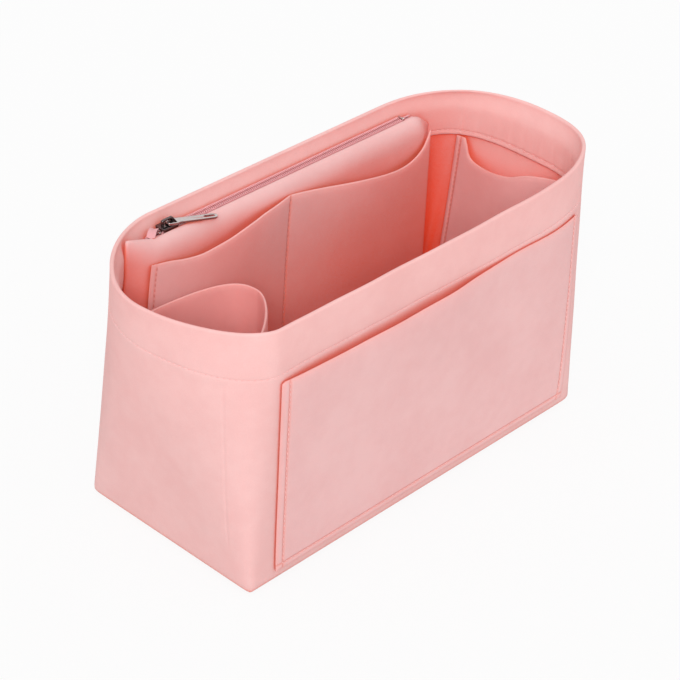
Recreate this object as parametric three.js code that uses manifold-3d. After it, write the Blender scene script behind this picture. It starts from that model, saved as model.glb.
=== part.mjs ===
// Purse organizer insert: a felt tub that stands inside a handbag and divides it.
// Millimetres, +Z up. The origin is on the underside, at the middle of the base.
// +X runs along the length towards the end pocket, and -Y faces the front pocket.
import * as THREE from "three";
import { mergeVertices } from "three/addons/utils/BufferGeometryUtils.js";
import Module from "manifold-3d";

const wasm = await Module();
wasm.setup();

// Driving dimensions of the tub.
const baseLength = 280;
const baseWidth = 134;
const tubHeight = 170;
const bodyFelt = 2.5;
const pocketFelt = 2;
const hemDepth = 32;
const seatGap = 0.3;
const cornerGap = 0.6;
const rimSpreadLeft = 22;
const rimSpreadRight = 28;
const rimBowFront = 3.5;
const sideSeamInset = 24;

// Driving dimensions of the outside pocket on the front.
const frontPocketLeftInset = 22;
const frontPocketRightInset = 12;
const frontPocketLift = 8;
const frontPocketMouthDrop = 1;
const frontPocketGape = 5;

// Driving dimensions of the zip pouch along the back.
const pouchDepth = 13;
const pouchLeftInset = 36;
const pouchRightInset = 19;
const pouchRollDrop = 12.5;
const zipDrop = 8;
const gussetRun = 12;
const gussetCornerInset = 3;

// Driving dimensions of the zip.
const tapeThickness = 0.8;
const tapeFlange = 12;
const tapeLeftInset = 3;
const tapeRightInset = 5;
const coilWidth = 2;
const coilHeight = 1.6;
const chainLeftInset = 8.7;
const chainRightInset = 10;
const stopLength = 1.4;
const sliderLength = 12;
const sliderPlate = 1.4;
const sliderSideWall = 0.8;
const sliderPostThickness = 0.6;
const sliderPostLength = 3;
const sliderCorner = 1;
const bridgeReach = 4.2;
const bridgeThickness = 1.2;
const bridgeWidth = 1.6;
const tabLength = 31;
const tabWidth = 4.8;
const tabThickness = 1.2;
const tabBar = 1.4;
const tabBarPlay = 0.4;
const tabEyePlay = 1;
const tabEyeWidth = 5;
const tabRim = 0.8;
const tabSlotLength = 7;
const tabSlotWidth = 2.2;
const tabSlotInset = 1.6;
const tabYaw = -19;
const tabPitch = 5.5;

// Driving dimensions of the slip pockets, the bottle holder and the end pocket.
const slipGapeLeft = 6.5;
const slipGapeRight = 7;
const slipMouthDrop = 16;
const slipDip = 14;
const holderFoot = 30;
const holderTopDrop = 7;
const holderReach = 80;
const holderTipY = 10;
const holderBackInset = 27;
const holderFrontInset = 21;
const endPocketFrontInset = 23;
const endPocketBackInset = 16.5;
const endPocketGape = 12;
const endPocketDip = 14;

// The tub's four corners, front right first and on round. Each curve starts at a share of
// half the base length, its power is high where the corner is square and near 2 where it is
// round, and ease says how fast the corner rounds off on its way up.
const cornerShares = [
  { x: 1, y: -1, start: 0.435, power: 2.87, ease: 1.1 },
  { x: 1, y: 1, start: 0.68, power: 2.15, ease: 0.6 },
  { x: -1, y: 1, start: 0.66, power: 1.76, ease: 1.1 },
  { x: -1, y: -1, start: 0.87, power: 1.74, ease: 1.1 },
];
const basePowerShare = 32;

// How finely the curved sheets are cut.
const cornerSteps = 60;
const wallLevels = 6;
const hemLevels = 4;
const endWallColumns = 28;
const sideWallColumns = 24;
const pocketColumns = 24;
const panelLevels = 7;
const rollSteps = 6;
const arcSteps = 4;

// Places worked out from the driving dimensions.
const halfLength = baseLength / 2;
const halfWidth = baseWidth / 2;
const hemFoot = tubHeight - hemDepth;
const hemThickness = 2 * bodyFelt;
const hemFaceY = halfWidth - hemThickness;
const floorTop = bodyFelt + seatGap;
const pouchLeftTop = halfLength - pouchLeftInset;
const pouchRightTop = halfLength - pouchRightInset;
const pouchFoot = halfLength - hemThickness - cornerGap - gussetCornerInset - gussetRun;
const pouchFaceY = hemFaceY - pouchDepth - pocketFelt;
const pouchTop = tubHeight - zipDrop;
const tapeLeft = pouchLeftTop - tapeLeftInset;
const tapeRight = pouchRightTop - tapeRightInset;
const tapeTop = pouchTop - pocketFelt - seatGap;
const tapeFoot = tapeTop - tapeThickness;
const chainLeft = tapeLeft - chainLeftInset;
const chainRight = tapeRight - chainRightInset;
const coilSplit = sliderPostThickness + 2 * seatGap;
const coilFoot = tapeTop + seatGap;
const coilTop = coilFoot + coilHeight;
const chainHalf = coilSplit / 2 + coilWidth;
const plateFoot = coilTop + seatGap;
const plateTop = plateFoot + sliderPlate;
const sliderHalfWidth = chainHalf + seatGap + sliderSideWall;
const sliderX = seatGap - chainLeft + sliderLength / 2;
const chainY = hemFaceY - seatGap - sliderHalfWidth;
const slotFrontY = chainY - sliderHalfWidth - seatGap;
const tabPivotRise = Math.hypot(tabBar, tabThickness) / 2 + tabBarPlay;
const tabPivotZ = plateTop + tabPivotRise;
const bridgeClear = 2 * tabPivotRise;
const tabEyeEnd = bridgeReach + tabEyePlay;
const holderTop = hemFoot - holderTopDrop;

function mix(a, b, share) {
  return a + (b - a) * share;
}

function radians(degrees) {
  return THREE.MathUtils.degToRad(degrees);
}

function steps(count) {
  return Array.from({ length: count + 1 }, (_, i) => i / count);
}

// One quarter of the tub's outline at height z, from the middle of a long side to an end.
function quarterOutline(corner, z) {
  const share = z / tubHeight;
  const spread = corner.x > 0 ? rimSpreadRight : rimSpreadLeft;
  const bow = corner.y < 0 ? rimBowFront : 0;
  const tip = halfLength + spread * share;
  const width = halfWidth + bow * share;
  const start = corner.start * halfLength;
  const eased = 1 - Math.pow(1 - share, corner.ease);
  const inverse = mix(1 / basePowerShare, 1 / corner.power, eased);
  const points = steps(cornerSteps).map((turn) => {
    const angle = (turn * Math.PI) / 2;
    const x = start + (tip - start) * Math.pow(Math.sin(angle), 2 * inverse);
    const y = width * Math.pow(Math.max(Math.cos(angle), 0), 2 * inverse);
    return [corner.x * x, corner.y * y];
  });
  return [[0, corner.y * width], ...points];
}

// The whole outline at height z, measured from the middle of the front, anticlockwise
// from above, as four quarters that each know how far along them every point lies.
const outlines = new Map();

function outlineAt(z) {
  if (!outlines.has(z)) {
    const quarters = cornerShares.map((corner, i) => {
      const points = quarterOutline(corner, z);
      if (i % 2 === 1) {
        points.reverse();
      }
      const lengths = [0];
      for (let k = 1; k < points.length; k += 1) {
        const [ax, ay] = points[k - 1];
        const [bx, by] = points[k];
        lengths.push(lengths[k - 1] + Math.hypot(bx - ax, by - ay));
      }
      return { points, lengths };
    });
    outlines.set(z, quarters);
  }
  return outlines.get(z);
}

function quarterLength(quarter) {
  return quarter.lengths[quarter.lengths.length - 1];
}

const footQuarters = outlineAt(0).map(quarterLength);
const rightMiddle = footQuarters[0];
const backMiddle = rightMiddle + footQuarters[1];
const leftMiddle = backMiddle + footQuarters[2];
const wholeWay = leftMiddle + footQuarters[3];

// The point of the tub's outside at a distance along the base's edge, carried up the sheet.
function outsidePoint(along, z) {
  let rest = ((along % wholeWay) + wholeWay) % wholeWay;
  let i = 0;
  while (i < footQuarters.length - 1 && rest > footQuarters[i]) {
    rest -= footQuarters[i];
    i += 1;
  }
  const quarter = outlineAt(z)[i];
  const target = (rest / footQuarters[i]) * quarterLength(quarter);
  let k = 1;
  while (k < quarter.lengths.length - 1 && quarter.lengths[k] < target) {
    k += 1;
  }
  const span = quarter.lengths[k] - quarter.lengths[k - 1];
  const share = (target - quarter.lengths[k - 1]) / span;
  const [ax, ay] = quarter.points[k - 1];
  const [bx, by] = quarter.points[k];
  return [mix(ax, bx, share), mix(ay, by, share)];
}

// A point at a depth inside the tub's outside face. A negative depth lies outside it.
function sheetPoint(along, z, depth) {
  const probe = bodyFelt;
  const [ax, ay] = outsidePoint(along - probe, z);
  const [bx, by] = outsidePoint(along + probe, z);
  const [x, y] = outsidePoint(along, z);
  const length = Math.hypot(bx - ax, by - ay);
  const inX = -(by - ay) / length;
  const inY = (bx - ax) / length;
  return new THREE.Vector3(x + depth * inX, y + depth * inY, z);
}

// The place along the back of the tub where the sheet at this depth passes x.
function backAlongAt(x, z, depth) {
  let low = rightMiddle;
  let high = leftMiddle;
  for (let i = 0; i < cornerSteps; i += 1) {
    const middle = (low + high) / 2;
    if (sheetPoint(middle, z, depth).x > x) {
      low = middle;
    } else {
      high = middle;
    }
  }
  return low;
}

// Joins equal loops of points into one closed skin, with triangles over both end loops.
function loftLoops(loops, capTriangles) {
  const size = loops[0].length;
  const positions = loops.flat().flatMap((point) => [point.x, point.y, point.z]);
  const index = [];
  for (let i = 0; i < loops.length - 1; i += 1) {
    for (let j = 0; j < size; j += 1) {
      const a = i * size + j;
      const b = i * size + ((j + 1) % size);
      index.push(a, b, b + size, a, b + size, a + size);
    }
  }
  const last = (loops.length - 1) * size;
  for (const [p, q, r] of capTriangles) {
    index.push(r, q, p, last + p, last + q, last + r);
  }
  const geometry = new THREE.BufferGeometry();
  geometry.setAttribute("position", new THREE.Float32BufferAttribute(positions, 3));
  geometry.setIndex(signedVolume(positions, index) < 0 ? flipped(index) : index);
  geometry.computeVertexNormals();
  return geometry;
}

// Triangles over a flat end loop.
function flatCap(outline) {
  const turned = THREE.ShapeUtils.area(outline) < 0;
  const triangles = THREE.ShapeUtils.triangulateShape(outline, []);
  return turned ? triangles.map(([a, b, c]) => [c, b, a]) : triangles;
}

// Triangles over a thin end loop that goes out along one face and back along the other,
// rung by rung, so that they follow the loop where it isn't flat.
function ladderCap(size) {
  const triangles = [];
  for (let i = 0; i < size / 2 - 1; i += 1) {
    triangles.push([i, i + 1, size - 2 - i], [i, size - 2 - i, size - 1 - i]);
  }
  return triangles;
}

function signedVolume(positions, index) {
  const corner = (i) => new THREE.Vector3().fromArray(positions, 3 * i);
  let sum = 0;
  for (let i = 0; i < index.length; i += 3) {
    sum += corner(index[i]).dot(corner(index[i + 1]).cross(corner(index[i + 2])));
  }
  return sum;
}

function flipped(index) {
  const turned = [];
  for (let i = 0; i < index.length; i += 3) {
    turned.push(index[i], index[i + 2], index[i + 1]);
  }
  return turned;
}

// A sheet with two faces: face(u, v, side) gives a point, where side 0 is the outer face,
// side 1 the inner one, u runs along the sheet and v up it.
function sheetBetween(columns, levels, face) {
  const rising = steps(levels);
  const falling = [...rising].reverse();
  const loops = steps(columns).map((u) => [
    ...rising.map((v) => face(u, v, 0)),
    ...falling.map((v) => face(u, v, 1)),
  ]);
  return loftLoops(loops, ladderCap(loops[0].length));
}

const feltMaterial = { color: 0xf2c0bd, roughness: 0.95, metalness: 0 };
const pocketMaterial = { color: 0xf0b9b8, roughness: 0.95, metalness: 0 };
const tapeMaterial = { color: 0xe8a0a6, roughness: 0.8, metalness: 0 };
const coilMaterial = { color: 0xd98f99, roughness: 0.45, metalness: 0 };
const nickelMaterial = { color: 0xb9b2b0, roughness: 0.28, metalness: 1 };

function piece(name, geometry, look) {
  const mesh = new THREE.Mesh(geometry, new THREE.MeshStandardMaterial(look));
  mesh.name = name;
  return mesh;
}

// The section of a wall: up the outside, over the rim, down the folded hem and down inside.
function wallSection() {
  const low = steps(wallLevels).map((share) => share * hemFoot);
  const high = steps(hemLevels).slice(1).map((share) => mix(hemFoot, tubHeight, share));
  const outside = [...low, ...high].map((z) => new THREE.Vector2(0, z));
  const hem = [...high].reverse().map((z) => new THREE.Vector2(hemThickness, z));
  const fold = new THREE.Vector2(hemThickness, hemFoot);
  const inside = [...low].reverse().map((z) => new THREE.Vector2(bodyFelt, z));
  return [...outside, ...hem, fold, ...inside];
}

// A wall's end, rung by rung. The fold adds one point where the hem's foot meets the wall.
function wallCap(section) {
  const fold = section.length - wallLevels - 2;
  const rungs = ladderCap(section.length - 1).map((triangle) => (
    triangle.map((i) => (i >= fold ? i + 1 : i))
  ));
  return [...rungs, [fold, fold + 1, fold - 1]];
}

function wall(name, from, to, columns) {
  const section = wallSection();
  const loops = steps(columns).map((u) => {
    const along = mix(from + seatGap / 2, to - seatGap / 2, u);
    return section.map((spot) => sheetPoint(along, spot.y, spot.x));
  });
  return piece(name, loftLoops(loops, wallCap(section)), feltMaterial);
}

function walls() {
  const halfSide = halfLength - sideSeamInset;
  return [
    wall("front_wall", -halfSide, halfSide, sideWallColumns),
    wall("right_end_wall", halfSide, backMiddle - halfSide, endWallColumns),
    wall("back_wall", backMiddle - halfSide, backMiddle + halfSide, sideWallColumns),
    wall("left_end_wall", backMiddle + halfSide, wholeWay - halfSide, endWallColumns),
  ];
}

// The base panel lies inside the foot of the walls.
function basePanel() {
  const ring = (z) => steps(2 * endWallColumns)
    .slice(0, -1)
    .map((u) => sheetPoint(u * wholeWay, z, bodyFelt + seatGap));
  const loops = [ring(0), ring(bodyFelt)];
  const outline = loops[0].map((point) => new THREE.Vector2(point.x, point.y));
  return piece("base_panel", loftLoops(loops, flatCap(outline)), feltMaterial);
}

// How far a curve through a list of places and heights, each a share, stands at a place.
function heightAt(shares, place) {
  const curve = new THREE.SplineCurve(shares.map(([x, y]) => new THREE.Vector2(x, y)));
  let low = 0;
  let high = 1;
  for (let i = 0; i < cornerSteps; i += 1) {
    const middle = (low + high) / 2;
    if (curve.getPoint(middle).x < place) {
      low = middle;
    } else {
      high = middle;
    }
  }
  return Math.max(curve.getPoint(low).y, 0);
}

// The outside pocket: sewn to the front wall at its sides and foot, open along the top,
// where it hangs away from the wall over its left two thirds.
const frontGapeShares = [
  [0, 0],
  [0.1, 0.65],
  [0.3, 0.9],
  [0.5, 1],
  [0.61, 0.5],
  [0.71, 0.08],
  [0.8, 0],
  [1, 0],
];

function frontPocketPanel() {
  const foot = frontPocketLift;
  const mouth = hemFoot - frontPocketMouthDrop;
  const left = frontPocketLeftInset - halfLength;
  const right = halfLength - frontPocketRightInset;
  const face = (u, v, side) => {
    const gape = frontPocketGape * heightAt(frontGapeShares, u) * Math.pow(v, 3);
    const depth = -(seatGap + gape + (1 - side) * pocketFelt);
    return sheetPoint(mix(left, right, u), mix(foot, mouth, v), depth);
  };
  const geometry = sheetBetween(pocketColumns, panelLevels, face);
  return piece("front_pocket_panel", geometry, pocketMaterial);
}

// The pouch's side edges: x at height z, spreading towards the base.
const pouchLeftBendShare = 0.42;
const pouchRightBendShare = 1.3;

function pouchLeftX(z) {
  const fall = Math.pow(Math.max(1 - z / pouchTop, 0), pouchLeftBendShare);
  return -mix(pouchLeftTop, pouchFoot, fall);
}

function pouchRightX(z) {
  const fall = Math.pow(Math.max(1 - z / pouchTop, 0), pouchRightBendShare);
  return mix(pouchRightTop, pouchFoot, fall);
}

// The pouch's front panel in section: straight up, then rolled back to the zip slot.
// The inset is measured from the panel's front face.
function pouchProfile(inset) {
  const rollFoot = pouchTop - pouchRollDrop;
  const rise = steps(panelLevels).map((v) => [pouchFaceY + inset, mix(floorTop, rollFoot, v)]);
  const roll = steps(rollSteps).slice(1).map((v) => {
    const angle = (v * Math.PI) / 2;
    const y = slotFrontY - (slotFrontY - pouchFaceY - inset) * Math.cos(angle);
    return [y, rollFoot + (pouchRollDrop - inset) * Math.sin(angle)];
  });
  return [...rise, ...roll];
}

// Where a face of the rolled panel lies at height z.
function pouchSkinY(z, inset) {
  const rollFoot = pouchTop - pouchRollDrop;
  const climb = Math.min(Math.max((z - rollFoot) / (pouchRollDrop - inset), 0), 1);
  return slotFrontY - (slotFrontY - pouchFaceY - inset) * Math.sqrt(1 - climb * climb);
}

function pouchFrontPanel() {
  const front = pouchProfile(0);
  const back = pouchProfile(pocketFelt).reverse();
  const loops = [pouchLeftX, pouchRightX].map((edge) => (
    [...front, ...back].map(([y, z]) => new THREE.Vector3(edge(z), y, z))
  ));
  const cap = ladderCap(loops[0].length);
  return piece("pouch_front_panel", loftLoops(loops, cap), pocketMaterial);
}

// A gusset closes one end of the pouch, from the panel's edge slantwise to the back wall.
// It stays clear of the hem, which is one felt deeper than the wall.
function pouchGusset(name, edge, side) {
  const top = tapeFoot - seatGap;
  const depth = hemThickness + cornerGap;
  const face = (u, v, inner) => {
    const z = mix(floorTop, top, v);
    const width = inner * pocketFelt;
    const frontX = edge(z) - side * Math.SQRT2 * width;
    const frontY = pouchSkinY(z, pocketFelt) + seatGap;
    const wallX = edge(z) + side * (gussetRun - width);
    const back = sheetPoint(backAlongAt(wallX, z, depth), z, depth);
    return new THREE.Vector3(mix(frontX, back.x, u), mix(frontY, back.y, u), z);
  };
  return piece(name, sheetBetween(2, panelLevels + rollSteps, face), pocketMaterial);
}

// The slip pockets' panel on the pouch: two scooped mouths either side of a sewn divider.
// Each mouth is a list of places along it and how deep it dips there.
const dividerShare = 0.463;
const leftMouthShares = [
  [0, 0.1],
  [0.12, 0.22],
  [0.3, 0.55],
  [0.5, 0.5],
  [0.75, 0.28],
  [1, 0],
];
const rightMouthShares = [
  [0, 0],
  [0.2, 0.25],
  [0.45, 0.62],
  [0.75, 1],
  [0.92, 0.8],
  [1, 0.1],
];
const slipLeanShare = 1.3;

function slipShares(u) {
  const left = u < dividerShare;
  const share = left ? u / dividerShare : (u - dividerShare) / (1 - dividerShare);
  const dip = heightAt(left ? leftMouthShares : rightMouthShares, share);
  const gape = left ? slipGapeLeft : slipGapeRight;
  const swell = gape * Math.max(Math.sin(Math.PI * Math.pow(share, slipLeanShare)), 0);
  return { mouth: tubHeight - slipMouthDrop - dip * slipDip, swell };
}

function slipPocketPanel() {
  const face = (u, v, side) => {
    const { mouth, swell } = slipShares(u);
    const z = mix(floorTop, mouth, v);
    const x = mix(pouchLeftX(z), pouchRightX(z), u);
    const stand = seatGap + swell * v * v + (1 - side) * pocketFelt;
    return new THREE.Vector3(x, pouchFaceY - stand, z);
  };
  return piece("slip_pocket_panel", sheetBetween(4 * panelLevels, panelLevels, face), pocketMaterial);
}

// The bottle holder: a loop of felt that stands off the left end wall, full at the back
// and drawn in at the front.
const holderBackPowerShare = 3;
const holderFrontPowerShare = 1.5;

function bottleHolderLoop() {
  const depth = bodyFelt + cornerGap;
  const face = (u, v, side) => {
    const z = mix(holderFoot, holderTop, v);
    const thin = side * pocketFelt;
    const tipX = holderReach - halfLength - thin;
    const back = sheetPoint(leftMiddle + holderBackInset + thin - halfWidth, z, depth);
    const front = sheetPoint(leftMiddle + halfWidth - holderFrontInset - thin, z, depth);
    const atBack = u < 1 / 2;
    const root = atBack ? back : front;
    const power = atBack ? holderBackPowerShare : holderFrontPowerShare;
    const angle = atBack ? u * Math.PI : (1 - u) * Math.PI;
    const reach = Math.pow(Math.max(Math.sin(angle), 0), 2 / power);
    const swing = Math.pow(Math.max(Math.cos(angle), 0), 2 / power);
    return new THREE.Vector3(mix(root.x, tipX, reach), mix(holderTipY, root.y, swing), z);
  };
  return piece("bottle_holder_loop", sheetBetween(endWallColumns, 2, face), pocketMaterial);
}

// The end pocket: sewn to the right end wall under the hem, with a mouth that sags inward.
const endMouthShares = [
  [0, 0],
  [0.15, 0.05],
  [0.35, 0.3],
  [0.5, 0.75],
  [0.7, 1],
  [0.86, 0.85],
  [0.93, 0],
  [1, 0],
];

function endPocketPanel() {
  const highest = hemFoot - seatGap;
  const near = rightMiddle + endPocketFrontInset - halfWidth;
  const far = rightMiddle + halfWidth - endPocketBackInset;
  const face = (u, v, side) => {
    const mouth = highest - heightAt(endMouthShares, u) * endPocketDip;
    const z = mix(floorTop, mouth, v);
    const rise = z / highest;
    const swell = endPocketGape * Math.sin(Math.PI * u) * Math.pow(rise, 2);
    const depth = bodyFelt + cornerGap + swell + side * pocketFelt;
    return sheetPoint(mix(near, far, u), z, depth);
  };
  return piece("end_pocket_panel", sheetBetween(endWallColumns, panelLevels, face), pocketMaterial);
}

// A box by its lowest and highest corners.
function block(low, high) {
  const size = high.clone().sub(low);
  const middle = low.clone().add(high).multiplyScalar(1 / 2);
  const geometry = new THREE.BoxGeometry(size.x, size.y, size.z);
  return geometry.translate(middle.x, middle.y, middle.z);
}

// The far tape is sewn to the hem's face, with a flange down it, and bends to the slot.
function zipTapeBack() {
  const inner = chainY + coilSplit / 2;
  const flangeFoot = tapeTop - tapeFlange;
  const loops = steps(sideWallColumns).map((u) => {
    const x = mix(-tapeLeft, tapeRight, u);
    const onHem = (inset, z) => {
      const depth = hemThickness + seatGap + inset;
      return new THREE.Vector3(x, sheetPoint(backAlongAt(x, z, depth), z, depth).y, z);
    };
    return [
      onHem(0, flangeFoot),
      onHem(0, tapeTop),
      new THREE.Vector3(x, inner, tapeTop),
      new THREE.Vector3(x, inner, tapeFoot),
      onHem(tapeThickness, tapeFoot),
      onHem(tapeThickness, flangeFoot),
    ];
  });
  const outline = loops[0].map((point) => new THREE.Vector2(point.y, point.z));
  return piece("zip_tape_back", loftLoops(loops, flatCap(outline)), tapeMaterial);
}

// The near tape lies flat under the coil and then follows the roll of the pouch's panel.
const tapeTuckShare = 0.7;

function zipTapeFront() {
  const edge = chainY - coilSplit / 2;
  const arc = (inset, share) => {
    const angle = (1 - share * tapeTuckShare) * (Math.PI / 2);
    const y = slotFrontY - (slotFrontY - pouchFaceY - inset) * Math.cos(angle);
    return [y, pouchTop - pouchRollDrop + (pouchRollDrop - inset) * Math.sin(angle)];
  };
  const upper = pocketFelt + seatGap;
  const top = [[edge, tapeTop], ...steps(rollSteps).map((share) => arc(upper, share))];
  const foot = [[edge, tapeFoot], ...steps(rollSteps).map((share) => arc(upper + tapeThickness, share))];
  const section = [...top, ...foot.reverse()].map(([y, z]) => new THREE.Vector2(y, z));
  const loops = [-tapeLeft, tapeRight].map((x) => (
    section.map((spot) => new THREE.Vector3(x, spot.x, spot.y))
  ));
  return piece("zip_tape_front", loftLoops(loops, flatCap(section)), tapeMaterial);
}

// Each half of the coil is a rounded bead along the edge of its tape.
function zipCoil(name, side) {
  const inner = chainY + (side * coilSplit) / 2;
  const section = steps(rollSteps).map((share) => {
    const angle = share * Math.PI;
    const y = inner + (side * coilWidth * (1 - Math.cos(angle))) / 2;
    return new THREE.Vector2(y, coilFoot + coilHeight * Math.sin(angle));
  });
  const loops = [-chainLeft, chainRight].map((x) => (
    section.map((spot) => new THREE.Vector3(x, spot.x, spot.y))
  ));
  return piece(name, loftLoops(loops, flatCap(section)), coilMaterial);
}

function zipTopStop(name, side) {
  const near = chainY + (side * coilSplit) / 2;
  const far = near + side * coilWidth;
  const right = -chainLeft - seatGap;
  const low = new THREE.Vector3(right - stopLength, Math.min(near, far), coilFoot);
  const high = new THREE.Vector3(right, Math.max(near, far), coilTop);
  return piece(name, block(low, high), nickelMaterial);
}

function zipBottomStop() {
  const left = chainRight + seatGap;
  const low = new THREE.Vector3(left, chainY - chainHalf, coilFoot);
  const high = new THREE.Vector3(left + stopLength, chainY + chainHalf, coilTop);
  return piece("zip_bottom_stop", block(low, high), nickelMaterial);
}

// A rounded plate lying flat: its outline has half sizes and a corner radius.
function roundedOutline(halfX, halfY, radius) {
  const shape = new THREE.Shape();
  shape.moveTo(radius - halfX, -halfY);
  shape.lineTo(halfX - radius, -halfY);
  shape.absarc(halfX - radius, radius - halfY, radius, -Math.PI / 2, 0);
  shape.lineTo(halfX, halfY - radius);
  shape.absarc(halfX - radius, halfY - radius, radius, 0, Math.PI / 2);
  shape.lineTo(radius - halfX, halfY);
  shape.absarc(radius - halfX, halfY - radius, radius, Math.PI / 2, Math.PI);
  shape.lineTo(-halfX, radius - halfY);
  shape.absarc(radius - halfX, radius - halfY, radius, Math.PI, (3 * Math.PI) / 2);
  return shape;
}

function plate(halfX, halfY, radius, foot, top) {
  const outline = roundedOutline(halfX, halfY, radius);
  const geometry = new THREE.ExtrudeGeometry(outline, {
    depth: top - foot,
    bevelEnabled: false,
    curveSegments: arcSteps,
  });
  return geometry.translate(0, 0, foot);
}

function solid(geometry) {
  geometry.deleteAttribute("normal");
  geometry.deleteAttribute("uv");
  const merged = mergeVertices(geometry);
  return new wasm.Manifold(new wasm.Mesh({
    numProp: 3,
    vertProperties: merged.attributes.position.array,
    triVerts: new Uint32Array(merged.index.array),
  }));
}

function joined(geometries) {
  const mesh = geometries.map(solid).reduce((whole, next) => whole.add(next)).getMesh();
  const geometry = new THREE.BufferGeometry();
  geometry.setAttribute("position", new THREE.BufferAttribute(mesh.vertProperties, 3));
  geometry.setIndex(new THREE.BufferAttribute(mesh.triVerts, 1));
  geometry.computeVertexNormals();
  return geometry;
}

// The slider grips the chain: an upper plate with a wall down each side, a lower plate
// under the tapes, and a thin post between the two halves that joins the plates.
function sliderBody() {
  const half = sliderLength / 2;
  const wallIn = sliderHalfWidth - sliderSideWall;
  const lowerTop = tapeFoot - seatGap;
  const postHalf = sliderPostThickness / 2;
  const wallHalf = half - sliderCorner;
  const sideWall = (near, far) => block(
    new THREE.Vector3(-wallHalf, Math.min(near, far), tapeTop + seatGap),
    new THREE.Vector3(wallHalf, Math.max(near, far), mix(plateFoot, plateTop, 1 / 2)),
  );
  const post = block(
    new THREE.Vector3(-wallHalf, -postHalf, mix(lowerTop - sliderPlate, lowerTop, 1 / 2)),
    new THREE.Vector3(sliderPostLength - wallHalf, postHalf, mix(plateFoot, plateTop, 1 / 2)),
  );
  const geometry = joined([
    plate(half, sliderHalfWidth, sliderCorner, plateFoot, plateTop),
    plate(half, chainHalf, sliderCorner, lowerTop - sliderPlate, lowerTop),
    sideWall(wallIn, sliderHalfWidth),
    sideWall(-wallIn, -sliderHalfWidth),
    post,
  ]);
  const mesh = piece("slider_body", geometry, nickelMaterial);
  mesh.position.set(sliderX, chainY, 0);
  return mesh;
}

// The bridge is a bent strap on the slider that the tab's eye hangs under.
function sliderBridge() {
  const top = bridgeClear + bridgeThickness;
  const inner = bridgeReach - bridgeThickness;
  const shape = new THREE.Shape();
  shape.moveTo(-bridgeReach, 0);
  shape.lineTo(-bridgeReach, top - bridgeThickness);
  shape.absarc(-inner, top - bridgeThickness, bridgeThickness, Math.PI, Math.PI / 2, true);
  shape.lineTo(inner, top);
  shape.absarc(inner, top - bridgeThickness, bridgeThickness, Math.PI / 2, 0, true);
  shape.lineTo(bridgeReach, 0);
  shape.lineTo(inner, 0);
  shape.lineTo(inner, bridgeClear);
  shape.lineTo(-inner, bridgeClear);
  shape.lineTo(-inner, 0);
  const geometry = new THREE.ExtrudeGeometry(shape, {
    depth: bridgeWidth,
    bevelEnabled: false,
    curveSegments: arcSteps,
  });
  geometry.translate(0, 0, -bridgeWidth / 2).rotateX(Math.PI / 2);
  const mesh = piece("slider_bridge", geometry, nickelMaterial);
  mesh.position.set(sliderX, chainY, plateTop);
  return mesh;
}

// The pull tab: a flat bar with an eye round the bridge and a long slot near its tip. Its
// own origin is on the bar of the eye, which it turns about.
function pullTab() {
  const eyeHalf = tabEyeWidth / 2;
  const headHalf = eyeHalf + tabRim;
  const half = tabWidth / 2;
  const neck = tabEyeEnd + tabRim;
  const shape = new THREE.Shape();
  shape.moveTo(-tabBar / 2, headHalf - tabBar);
  shape.lineTo(-tabBar / 2, tabBar - headHalf);
  shape.absarc(tabBar / 2, tabBar - headHalf, tabBar, Math.PI, (3 * Math.PI) / 2);
  shape.lineTo(tabEyeEnd, -headHalf);
  shape.lineTo(neck + headHalf - half, -half);
  shape.lineTo(tabLength - half, -half);
  shape.absarc(tabLength - half, 0, half, -Math.PI / 2, Math.PI / 2);
  shape.lineTo(neck + headHalf - half, half);
  shape.lineTo(tabEyeEnd, headHalf);
  shape.lineTo(tabBar / 2, headHalf);
  shape.absarc(tabBar / 2, headHalf - tabBar, tabBar, Math.PI / 2, Math.PI);
  const eye = new THREE.Path();
  eye.moveTo(tabBar / 2, -eyeHalf);
  eye.lineTo(tabEyeEnd, -eyeHalf);
  eye.lineTo(tabEyeEnd, eyeHalf);
  eye.lineTo(tabBar / 2, eyeHalf);
  eye.closePath();
  const slotHalf = tabSlotWidth / 2;
  const slotEnd = tabLength - tabSlotInset - slotHalf;
  const slotStart = tabLength - tabSlotInset - tabSlotLength + slotHalf;
  const slot = new THREE.Path();
  slot.absarc(slotEnd, 0, slotHalf, -Math.PI / 2, Math.PI / 2);
  slot.absarc(slotStart, 0, slotHalf, Math.PI / 2, (3 * Math.PI) / 2);
  slot.closePath();
  shape.holes.push(eye, slot);
  const geometry = new THREE.ExtrudeGeometry(shape, {
    depth: tabThickness,
    bevelEnabled: false,
    curveSegments: arcSteps,
  });
  geometry.translate(0, 0, -tabThickness / 2);
  const mesh = piece("pull_tab", geometry, nickelMaterial);
  mesh.rotation.y = radians(tabPitch);
  const swivel = new THREE.Group();
  swivel.position.set(sliderX, chainY, tabPivotZ);
  swivel.rotation.z = radians(tabYaw);
  swivel.add(mesh);
  return swivel;
}

const insert = new THREE.Group();
insert.add(
  basePanel(),
  ...walls(),
  frontPocketPanel(),
  pouchFrontPanel(),
  pouchGusset("pouch_left_gusset", pouchLeftX, -1),
  pouchGusset("pouch_right_gusset", pouchRightX, 1),
  slipPocketPanel(),
  bottleHolderLoop(),
  endPocketPanel(),
  zipTapeBack(),
  zipTapeFront(),
  zipCoil("zip_coil_back", 1),
  zipCoil("zip_coil_front", -1),
  zipTopStop("zip_top_stop_back", 1),
  zipTopStop("zip_top_stop_front", -1),
  zipBottomStop(),
  sliderBody(),
  sliderBridge(),
  pullTab(),
);

export default insert;
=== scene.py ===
"""Purse organizer insert: a soft felt tub with pockets, a bottle loop and a zipped pouch.

Every piece is a mesh built round the loaded frame, in metres, +Z up. The origin is on the
underside at the middle of the base, +X points to the end pocket and -Y to the front pocket.
"""
import math

import bpy
import numpy as np
from mathutils import Matrix, Vector


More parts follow.
